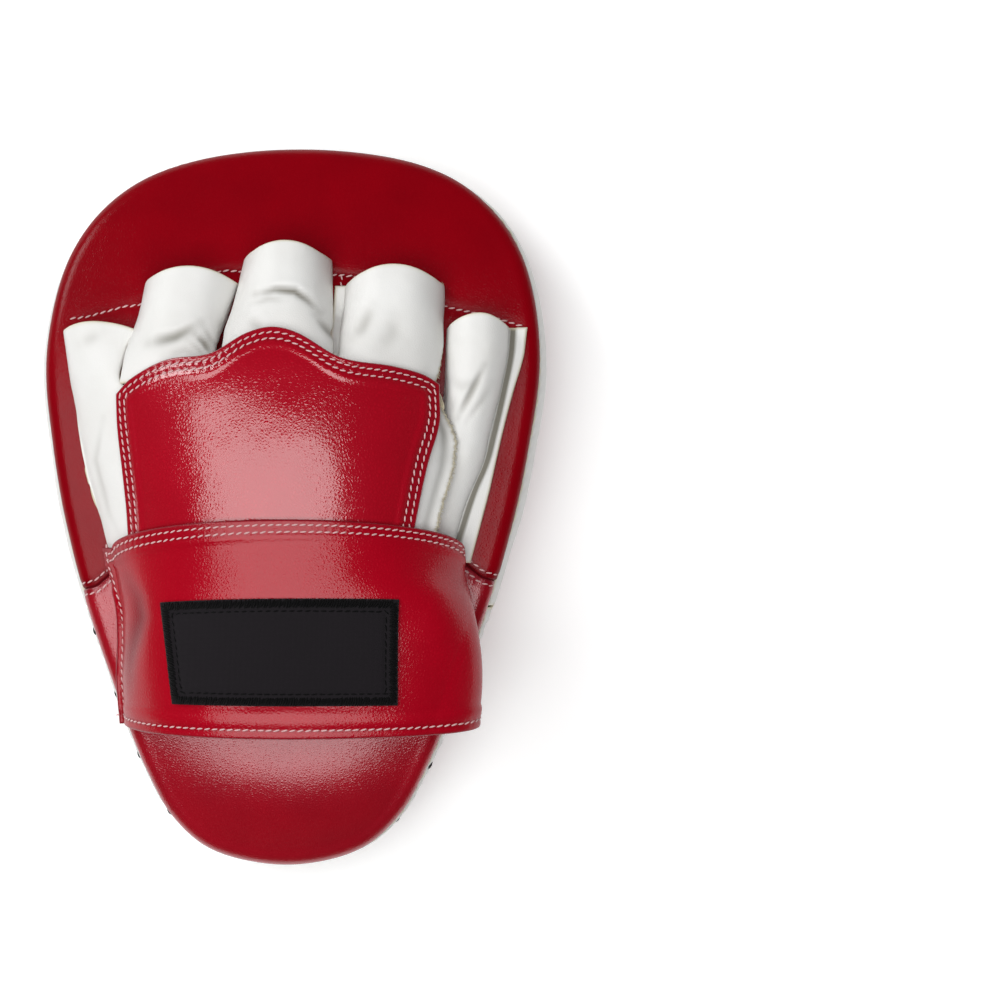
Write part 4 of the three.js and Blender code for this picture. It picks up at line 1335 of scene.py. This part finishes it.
side_wall = cut_sheet(
    "side_wall_leather",
    band_surface(SLIT_LEFT - 1 + SHARE_GAP, SLIT_RIGHT - SHARE_GAP, lambda s: WALL_FOOT, lambda s: WALL_HEAD),
    470.0, 27.0, WALL_LEATHER, lift=0.0, cell=1.1, rest=None, outward=wall_normals,
    rough=((21.0, 0.4, 8), (8.0, 0.12, 9)), shape=gathered(5.6, 0.25, 10),
)
hem_front = cut_sheet(
    "hem_leather_front",
    band_surface(
        SLIT_RIGHT + SHARE_GAP, SLIT_LEFT - SHARE_GAP, lambda s: WALL_FOOT, lambda s: SLIT_BOTTOM + scallop(s)
    ),
    330.0, 9.2, WALL_LEATHER, lift=0.0, cell=0.9, rest=None, outward=wall_normals,
    rough=((15.0, 0.3, 11), (6.0, 0.12, 12)), shape=gathered(5.6, 0.22, 13),
)
hem_back = cut_sheet(
    "hem_leather_back",
    band_surface(
        SLIT_RIGHT + SHARE_GAP, SLIT_LEFT - SHARE_GAP, lambda s: SLIT_TOP - scallop(s), lambda s: WALL_HEAD
    ),
    330.0, 7.2, WALL_LEATHER, lift=0.0, cell=0.9, rest=None, outward=wall_normals,
    rough=((15.0, 0.3, 14), (6.0, 0.12, 15)), shape=gathered(5.6, 0.2, 16),
)

# %% Lace
LACE_RADIUS = 1.3
LACE_TURN = table(
    "turn level outside",
    (0.44, -1, 1), (0.53, 0, 1), (0.62, 1, 1), (0.66, 1, 0), (1.0, 0, 0), (1.4, -1, 0),
)
LACE_START = 0.41
LACE_SINK = {-1: 0.55, 0: 2.4, 1: 0.65}
LACE_LEVELS = {-1: SLIT_BOTTOM - EYELET_MARGIN, 0: (SLIT_BOTTOM + SLIT_TOP) / 2, 1: SLIT_TOP + EYELET_MARGIN}


def lace_path():
    start = SLIT_RIGHT + LACE_START * TURN_SHARE
    height = LACE_LEVELS[-1]
    path = [pad_point(start, wall_inset(height) + WALL_LEATHER + LACE_RADIUS, height)]
    outward = [pad_point(start, -1.0, height) - pad_point(start, 0.0, height)]
    for k in range(LACE_TURNS):
        stations = len(LACE_TURN["turn"]) if k < LACE_TURNS - 1 else 4
        for turn, level, outside in list(zip(*LACE_TURN.values()))[:stations]:
            height = LACE_LEVELS[int(level)]
            inset = wall_inset(height) + (LACE_SINK[int(level)] if outside else WALL_LEATHER + LACE_RADIUS)
            share = SLIT_RIGHT + (k + turn) * TURN_SHARE
            path.append(pad_point(share, inset, height))
            outward.append(pad_point(share, -1.0, height) - pad_point(share, 0.0, height))
    return np.array(path), np.array(outward)


def open_curve(points, steps):
    """A smooth open curve through points, with end tangents like its neighbours'."""
    padded = np.vstack([2 * points[0] - points[1], points, 2 * points[-1] - points[-2]])
    samples = []
    for k in range(1, len(padded) - 2):
        p0, p1, p2, p3 = padded[k - 1 : k + 3]
        d0, d1, d2 = (max(np.linalg.norm(b - a), 1e-6) ** 0.5 for a, b in ((p0, p1), (p1, p2), (p2, p3)))
        start = ((p1 - p0) / d0 - (p2 - p0) / (d0 + d1) + (p2 - p1) / d1) * d1
        stop = ((p2 - p1) / d1 - (p3 - p1) / (d1 + d2) + (p3 - p2) / d2) * d1
        t = (np.arange(steps) / steps)[:, None]
        samples.append(
            (2 * t**3 - 3 * t**2 + 1) * p1 + (t**3 - 2 * t**2 + t) * start
            + (3 * t**2 - 2 * t**3) * p2 + (t**3 - t**2) * stop
        )
    return np.vstack([*samples, padded[-2:-1]])


def tube(name, path, outward, radius, sides, flatness=1.0):
    """A closed cord along a path, flattened along the given directions, with a UV map in metres."""
    tangent = np.gradient(path, axis=0)
    tangent /= np.linalg.norm(tangent, axis=1, keepdims=True)
    side = np.cross(tangent, outward)
    for k in range(1, len(side)):
        if np.linalg.norm(side[k]) < 0.35:
            side[k] = side[k - 1]
    side -= tangent * (side * tangent).sum(1, keepdims=True)
    side /= np.linalg.norm(side, axis=1, keepdims=True)
    for k in range(1, len(side)):
        if np.dot(side[k], side[k - 1]) < 0:
            side[k] = -side[k]
    up = np.cross(side, tangent)
    angle = 2 * math.pi * np.arange(sides) / sides
    ring = (
        path[:, None]
        + side[:, None] * (radius * np.cos(angle))[None, :, None]
        + up[:, None] * (radius * flatness * np.sin(angle))[None, :, None]
    )
    points = ring.reshape(-1, 3)
    k = np.arange(sides)
    after = (k + 1) % sides
    faces = []
    for step in range(len(path) - 1):
        a = step * sides
        faces += np.stack([a + k, a + after, a + sides + after, a + sides + k], -1).tolist()
    faces.append(list(range(sides))[::-1])
    faces.append([(len(path) - 1) * sides + int(i) for i in k])
    mesh = bpy.data.meshes.new(name)
    mesh.from_pydata(((points + SHIFT) * MM).tolist(), [], faces)
    mesh.polygons.foreach_set("use_smooth", np.ones(len(mesh.polygons), bool))
    run = np.concatenate([[0], np.cumsum(np.linalg.norm(np.diff(path, axis=0), axis=1))]) * MM
    across = 2 * math.pi * radius * MM * np.arange(sides) / sides
    uv = np.stack(np.meshgrid(across, run, indexing="xy"), -1).reshape(-1, 2)
    corners = np.empty(len(mesh.loops), np.int32)
    mesh.loops.foreach_get("vertex_index", corners)
    mesh.uv_layers.new(name="along").data.foreach_set("uv", uv[corners].astype(np.float32).ravel())
    mesh.update()
    work = bmesh.new()
    work.from_mesh(mesh)
    bmesh.ops.recalc_face_normals(work, faces=work.faces)
    work.to_mesh(mesh)
    work.free()
    made = bpy.data.objects.new(name, mesh)
    bpy.context.scene.collection.objects.link(made)
    print(name, "has", len(mesh.polygons), "faces")
    return made


lace_points, lace_outward = lace_path()
side_lace = tube(
    "side_lace", open_curve(lace_points, 10), open_curve(lace_outward, 10), LACE_RADIUS * 1.25, 14,
    flatness=0.5,
)

# %% [markdown]
# ## The glove
# Five stalls of soft white leather hold the fingers, a red panel covers the back of the hand, and a stiff
# band closes over the wrist. They are the pieces that a hand has bent a thousand times, so their folds are
# set one by one, as short lines on the pad's plan with a width and a depth.

# %% Finger stalls
STALL_SIZES = {
    "little": (46.0, 89.0), "ring": (66.0, 38.0), "middle": (68.0, 42.0), "index": (64.0, 103.0),
}
STALL_FOLDS = {
    "little": (
        (((-69.0, 33.0), (-72.5, 17.0), (-68.0, -2.0), (-63.5, -9.5)), 1.2, -0.35),
        (((-78.0, 60.0), (-70.0, 64.0)), 2.2, -0.3),
    ),
    "ring": (
        (((-52.0, 60.0), (-42.0, 62.5), (-33.0, 67.5)), 2.2, -1.1),
        (((-34.5, 63.0), (-31.0, 60.0), (-28.0, 55.5)), 1.4, -1.2),
        (((-32.0, 66.0), (-29.0, 61.5), (-26.5, 58.0)), 0.9, -0.5),
        (((-37.5, 61.0), (-33.0, 57.5), (-30.0, 53.5)), 0.9, -0.5),
        (((-50.0, 64.5), (-40.0, 66.0), (-33.0, 71.0)), 1.5, 0.35),
        (((-46.0, 55.5), (-38.0, 57.5), (-31.0, 54.5)), 1.6, -0.45),
    ),
    "middle": (
        (((-13.2, 77.8), (-5.6, 79.6), (1.7, 78.9), (6.1, 76.0), (11.2, 71.2)), 1.3, -1.4),
        (((-15.0, 74.0), (-8.0, 76.0), (-1.0, 75.4)), 1.0, -0.4),
        (((-12.0, 80.4), (-4.0, 82.2), (3.0, 81.6), (8.0, 78.5)), 1.5, 0.4),
        (((9.0, 70.0), (15.0, 63.5), (19.0, 59.0)), 1.5, -0.9),
        (((-16.0, 70.0), (-12.0, 66.0), (-10.0, 61.0)), 2.2, -0.4),
    ),
    "index": (
        (((22.0, 62.0), (26.0, 66.0), (30.0, 74.0)), 2.4, -0.6),
        (((33.0, 58.0), (37.0, 63.0), (38.0, 70.0)), 3.0, -0.35),
        (((50.0, 50.0), (54.0, 42.0), (57.0, 32.0), (55.0, 18.0)), 2.2, -0.5),
    ),
}


def as_cut(base, runs, height, painted_shade):
    return base, height, painted_shade


def raw_lip(base, runs, height, painted_shade):
    """The index stall's raw edge curls up over the thumb's tube, and the valley beside it is lowered and
    darkened with painted shade.
    """
    lower = smooth((0.3 - base[..., 1] / HALF_LENGTH) / 0.08)
    uneven = 1 + 0.35 * noise(base, 3.0, 61)
    lip = np.exp(-((runs["last_column"] / 1.9) ** 2)) * lower
    valley = np.exp(-(((runs["last_column"] - 4.2) / 2.0) ** 2)) * lower
    return base, height + 1.5 * lip * uneven - 0.5 * valley, painted_shade + 0.25 * valley


def raised_flange_with_painted_crevice(base, runs, height, painted_shade):
    """The thumb's flange stands a little off the cover, and the narrow strip between it and the tube is
    darkened with painted shade, where a crevice's shadow falls.
    """
    beyond = base[..., 0] - read_table(THUMB_ROWS, "right", base[..., 1] / HALF_LENGTH) * HALF_WIDTH
    raised = smooth((beyond - 2.0) / 0.8)
    painted_crevice_shade = np.exp(-(((beyond - 1.2) / 1.15) ** 4))
    return base, height + 1.6 * raised, painted_shade + 1.2 * painted_crevice_shade


STALL_SHAPES = {"index": raw_lip}
finger_stalls = {}
for finger, (width, length) in STALL_SIZES.items():
    finger_stalls[finger] = cut_sheet(
        finger + "_stall_leather", stall_surface(finger), width, length, STALL_LEATHER,
        lift=0.0, cell=0.9, folds=STALL_FOLDS[finger], shape=STALL_SHAPES.get(finger, as_cut),
        rows=(("fray", 0.3, ("last_column",)),) if finger == "index" else (),
        rough=((13.0, 0.35, 20 + len(finger)), (5.0, 0.12, 30 + len(finger)), (2.6, 0.05, 70 + len(finger))),
    )

THUMB_FOLDS = (
    (((71.0, 52.0), (65.5, 41.5), (60.5, 32.5)), 1.3, -0.95),
    (((73.5, 46.0), (70.0, 39.0), (64.0, 31.0)), 1.2, -0.35),
    (((68.0, 46.0), (62.0, 44.0), (58.0, 47.0)), 1.8, -0.3),
)
thumb_stall = cut_sheet(
    "thumb_stall_leather", thumb_surface, 40.0, 88.0, STALL_LEATHER,
    lift=0.0, cell=0.7, folds=THUMB_FOLDS, shape=raised_flange_with_painted_crevice,
    rough=((14.0, 0.3, 41), (5.0, 0.1, 42), (2.6, 0.05, 43)),
)

# %% Hand panel, cuff and label
PANEL_HEMS = ("first_column", "last_row", "last_column")
# A cuff that is often closed keeps a long crease beside its fixed end.
CUFF_FOLDS = (
    (
        (
            (-62.1, -18.2), (-58.5, -26.6), (-54.8, -33.2), (-53.7, -40.1), (-55.5, -46.7), (-57.4, -52.5),
            (-58.5, -59.8), (-58.8, -74.8),
        ),
        3.2,
        -1.0,
    ),
    (((40.0, -24.0), (52.0, -34.0), (58.0, -52.0)), 7.0, 0.9),
    (((-30.0, -72.0), (0.0, -69.5), (30.0, -72.0)), 3.0, 0.5),
)
hand_panel = cut_sheet(
    "hand_panel_leather", panel_surface, 128.0, 84.0, HAND_LEATHER,
    lift=LAYER_GAP + HAND_LEATHER, cell=0.8,
    rows=(("glove_thread", 2.3, PANEL_HEMS), ("glove_thread", 4.8, PANEL_HEMS)),
    turned=(PANEL_HEMS, 7.0, 0.35),
    rough=((24.0, 0.35, 51), (9.0, 0.1, 52)),
)
cuff = cut_sheet(
    "wrist_cuff_leather", cuff_surface, 172.0, 68.0, CUFF_LEATHER,
    lift=CUFF_LEATHER, cell=0.9,
    rows=(
        ("glove_thread", 2.2, ("first_row",)),
        ("glove_thread", 5.0, ("first_row",)),
        ("glove_thread", 3.4, ("last_row",)),
        ("glove_thread", 2.4, ("first_column",)),
    ),
    turned=(("first_row", "last_row"), 7.0, 0.6), folds=CUFF_FOLDS,
    rough=((30.0, 0.5, 53), (11.0, 0.12, 54)),
)
woven_label = cut_sheet(
    "woven_label", patch_surface, 88.0, 40.0, PATCH_THICKNESS,
    lift=CUFF_LEATHER + LAYER_GAP + PATCH_THICKNESS, cell=0.7,
    rows=(("label_thread", 4.4, EDGES), ("border_thread", 1.7, EDGES)), rough=((12.0, 0.15, 55),),
)

# %% [markdown]
# ## Stitches
# A lockstitch row is a line of short raised dashes, one for each step of the machine. Geometry Nodes lay
# them: the noted rows become curves, each curve is cut at the stitch pitch, and a small thread bead is set
# at every cut, turned along the row and standing on the leather. All rows share this one tree.

# %% Stitch tree
def stitch_tree():
    tree = bpy.data.node_groups.new("stitch_rows", "GeometryNodeTree")
    sockets = (
        ("Rows", "NodeSocketGeometry", None),
        ("Pitch", "NodeSocketFloat", 0.003),
        ("Bead Length", "NodeSocketFloat", 0.002),
        ("Bead Width", "NodeSocketFloat", 0.0008),
        ("Slant", "NodeSocketFloat", 0.0),
        ("Wander", "NodeSocketFloat", 0.1),
        ("Thread", "NodeSocketMaterial", None),
    )
    for name, kind, value in sockets:
        socket = tree.interface.new_socket(name, in_out="INPUT", socket_type=kind)
        if value is not None:
            socket.default_value = value
    tree.interface.new_socket("Stitches", in_out="OUTPUT", socket_type="NodeSocketGeometry")
    given = add_node(tree, "NodeGroupInput").outputs
    curves = add_node(tree, "GeometryNodeMeshToCurve", {"Mesh": given["Rows"]})
    steps = add_node(
        tree,
        "GeometryNodeResampleCurve",
        {"Curve": curves.outputs["Curve"], "Length": given["Pitch"]},
        mode="LENGTH",
    )
    along = add_node(tree, "GeometryNodeInputTangent")
    stand = add_node(tree, "GeometryNodeInputNamedAttribute", {"Name": "stand"}, data_type="FLOAT_VECTOR")
    headed = add_node(
        tree, "FunctionNodeAlignRotationToVector", {"Vector": along.outputs["Tangent"]}, axis="X"
    )
    standing = add_node(
        tree,
        "FunctionNodeAlignRotationToVector",
        {"Rotation": headed.outputs["Rotation"], "Vector": stand.outputs["Attribute"]},
        axis="Z",
        pivot_axis="X",
    )
    stray = add_node(tree, "FunctionNodeRandomValue", {2: -1.0, 3: 1.0, "Seed": 5}, data_type="FLOAT")
    angle = add_node(
        tree,
        "ShaderNodeMath",
        {0: stray.outputs[1], 1: given["Wander"], 2: given["Slant"]},
        operation="MULTIPLY_ADD",
    )
    slant = add_node(
        tree, "FunctionNodeAxisAngleToRotation", {"Axis": (0.0, 0.0, 1.0), "Angle": angle.outputs["Value"]}
    )
    turned = add_node(
        tree,
        "FunctionNodeRotateRotation",
        {"Rotation": standing.outputs["Rotation"], "Rotate By": slant.outputs["Rotation"]},
        rotation_space="LOCAL",
    )
    ball = add_node(tree, "GeometryNodeMeshUVSphere", {"Segments": 8, "Rings": 6, "Radius": 0.5})
    size = add_node(
        tree,
        "ShaderNodeCombineXYZ",
        {"X": given["Bead Length"], "Y": given["Bead Width"], "Z": given["Bead Width"]},
    )
    bead = add_node(
        tree, "GeometryNodeTransform", {"Geometry": ball.outputs["Mesh"], "Scale": size.outputs["Vector"]}
    )
    laid = add_node(
        tree,
        "GeometryNodeInstanceOnPoints",
        {
            "Points": steps.outputs["Curve"],
            "Instance": bead.outputs["Geometry"],
            "Rotation": turned.outputs["Rotation"],
        },
    )
    real = add_node(tree, "GeometryNodeRealizeInstances", {"Geometry": laid.outputs["Instances"]})
    smooth_beads = add_node(tree, "GeometryNodeSetShadeSmooth", {"Geometry": real.outputs["Geometry"]})
    dyed = add_node(
        tree,
        "GeometryNodeSetMaterial",
        {"Geometry": smooth_beads.outputs["Geometry"], "Material": given["Thread"]},
    )
    add_node(tree, "NodeGroupOutput", {"Stitches": dyed.outputs["Geometry"]})
    return tree


STITCH_TREE = stitch_tree()


def sew(name, group, thread, sink=0.0, **sizes):
    """Lays a group's rows of stitches and returns them as one plain mesh."""
    points, stands, edges = [], [], []
    for line, normal in THREAD_ROWS[group]:
        first = len(points)
        points += (line - normal * sink).tolist()
        stands += normal.tolist()
        edges += [(k, k + 1) for k in range(first, len(points) - 1)]
    mesh = bpy.data.meshes.new(name + "_rows")
    mesh.from_pydata(((np.array(points) + SHIFT) * MM).tolist(), edges, [])
    stand = mesh.attributes.new("stand", "FLOAT_VECTOR", "POINT")
    stand.data.foreach_set("vector", np.array(stands, np.float32).ravel())
    rows = bpy.data.objects.new(name + "_rows", mesh)
    bpy.context.scene.collection.objects.link(rows)
    modifier = rows.modifiers.new("sew", "NODES")
    modifier.node_group = STITCH_TREE
    inputs = {
        item.name: item.identifier
        for item in STITCH_TREE.interface.items_tree
        if item.item_type == "SOCKET" and item.in_out == "INPUT"
    }
    modifier[inputs["Thread"]] = thread
    for key, value in sizes.items():
        modifier[inputs[key.replace("_", " ").title()]] = value
    rows.update_tag()
    evaluated = rows.evaluated_get(bpy.context.evaluated_depsgraph_get())
    sewn = bpy.data.meshes.new_from_object(evaluated)
    sewn.name = name
    rows.modifiers.remove(modifier)
    bpy.data.objects.remove(rows)
    made = bpy.data.objects.new(name, sewn)
    bpy.context.scene.collection.objects.link(made)
    print(name, "has", len(sewn.polygons), "faces")
    return made


BEAD = {"pitch": STITCH_PITCH * MM, "bead_length": 2.55 * MM, "bead_width": 0.66 * MM, "wander": 0.12}
glove_stitches = sew("glove_stitches", "glove_thread", white_thread_painted_pink, sink=0.0, slant=0.22, **BEAD)
cover_stitches = sew("cover_stitches", "cover_thread", white_thread_painted_pink, sink=0.0, slant=0.22, **BEAD)
label_stitches = sew("label_stitches", "label_thread", black_thread, sink=0.05, slant=0.1, **BEAD)
# A merrowed border is thread wound over the label's edge, so its stitches lie side by side across it.
WINDING = {"pitch": 0.9 * MM, "bead_length": 3.7 * MM, "bead_width": 1.15 * MM, "wander": 0.35}
label_border = sew("label_border", "border_thread", black_thread, sink=-0.15, slant=1.15, **WINDING)
# The index stall is cut raw beside the thumb, and its flesh side frays into short fibres.
FIBRE = {"pitch": 0.5 * MM, "bead_length": 2.9 * MM, "bead_width": 0.2 * MM, "wander": 1.2}
frayed_edge = sew("frayed_edge", "fray", fray_thread, sink=-0.1, slant=1.2, **FIBRE)

# %% [markdown]
# ## Joining the frame
# Each dressed piece replaces its plain solid and rides on the mitt's one body.

# %% Dress the frame
DRESSED = (
    (foam_block, "foam", cell_foam, ("foam_core",)),
    (striking_face, "face_leather", face_red, ("front_cover",)),
    (back_upper, "back_leather", shaded_back_red, ("back_cover_upper",)),
    (back_lower, "back_leather", lit_tip_red, ("back_cover_lower",)),
    (side_wall, "white_leather", soft_white, ("side_wall",)),
    (hem_front, "white_leather", soft_white, ("side_hem_front",)),
    (hem_back, "white_leather", soft_white, ("side_hem_back",)),
    (side_lace, "lace", lace_weave, ("lace",)),
    *((stall, "white_leather", soft_white, (finger + "_stall",)) for finger, stall in finger_stalls.items()),
    (thumb_stall, "white_leather", soft_white, ("thumb_stall",)),
    (hand_panel, "glove_leather", glove_red, ("hand_back",)),
    (cuff, "glove_leather", cuff_red, ("cuff",)),
    (woven_label, "patch", label_weave, ("patch",)),
    (glove_stitches, "white_leather", None, ()),
    (cover_stitches, "white_leather", None, ()),
    (label_stitches, "patch", None, ()),
    (label_border, "patch", None, ()),
    (frayed_edge, "white_leather", None, ()),
)
for piece, slot, material, nodes in DRESSED:
    if material:
        piece.data.materials.clear()
        piece.data.materials.append(material)
    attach(piece, "root")
    if nodes:
        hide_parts(*nodes)
print("dressed", len(DRESSED), "pieces")

# %% [markdown]
# ## Floor, light and camera
# A product picture on white needs three things: a pale floor, a wide soft lamp overhead whose reflection
# draws the leather's gloss, and a camera far enough away to flatten the view.

# %% Stage
CAMERA_X = 76.2
CAMERA_Y = 2.6
CAMERA_HEIGHT = 1300.0
LENS = 121.1
FLOOR_SIZE = 6.0
TABLE_GLOW = 0.26


def lamp(name, place, target, size, power):
    data = bpy.data.lights.new(name, "AREA")
    data.shape = "RECTANGLE"
    data.size, data.size_y = size
    data.energy = power
    made = bpy.data.objects.new(name, data)
    made.location = place
    made.rotation_euler = (Vector(target) - Vector(place)).to_track_quat("-Z", "Y").to_euler()
    bpy.context.scene.collection.objects.link(made)


camera_data = bpy.data.cameras.new("camera")
camera_data.lens = LENS
camera_data.sensor_width = 36.0
camera_data.clip_end = 20.0
camera = bpy.data.objects.new("camera", camera_data)
camera.location = ((CAMERA_X + SHIFT[0]) * MM, (CAMERA_Y + SHIFT[1]) * MM, CAMERA_HEIGHT * MM)
bpy.context.scene.collection.objects.link(camera)
bpy.context.scene.camera = camera

floor_mesh = bpy.data.meshes.new("pale_floor")
half_floor = FLOOR_SIZE / 2
floor_corners = [(x * half_floor, y * half_floor, 0.0) for x, y in ((-1, -1), (1, -1), (1, 1), (-1, 1))]
floor_mesh.from_pydata(floor_corners, [], [(0, 1, 2, 3)])
pale_floor = bpy.data.objects.new("pale_floor", floor_mesh)
bpy.context.scene.collection.objects.link(pale_floor)
floor_paint, floor_tree = new_material("pale_floor_paint")
finish_material(
    floor_tree,
    add_node(
        floor_tree,
        "ShaderNodeBsdfPrincipled",
        {
            "Base Color": linear("FDFDFD"),
            "Roughness": 1.0,
            "Specular IOR Level": 0.0,
            "Emission Color": linear("FFFFFF"),
            "Emission Strength": TABLE_GLOW,
        },
    ),
)
floor_mesh.materials.append(floor_paint)

lamp("overhead_softbox", (-0.3, -0.2, 1.9), (-0.3, -0.2, 0.05), (1.9, 1.55), 36.0)
lamp("upper_left_key", (-1.2, 1.1, 1.2), (0.0, 0.0, 0.05), (0.7, 0.7), 12.0)
world = bpy.data.worlds.new("studio")
world.use_nodes = True
background = world.node_tree.nodes["Background"]
background.inputs["Color"].default_value = linear("FFFFFF")
background.inputs["Strength"].default_value = 0.03
bpy.context.scene.world = world
bpy.context.scene.view_settings.view_transform = "Standard"
print("camera stands", CAMERA_HEIGHT, "mm over the floor")
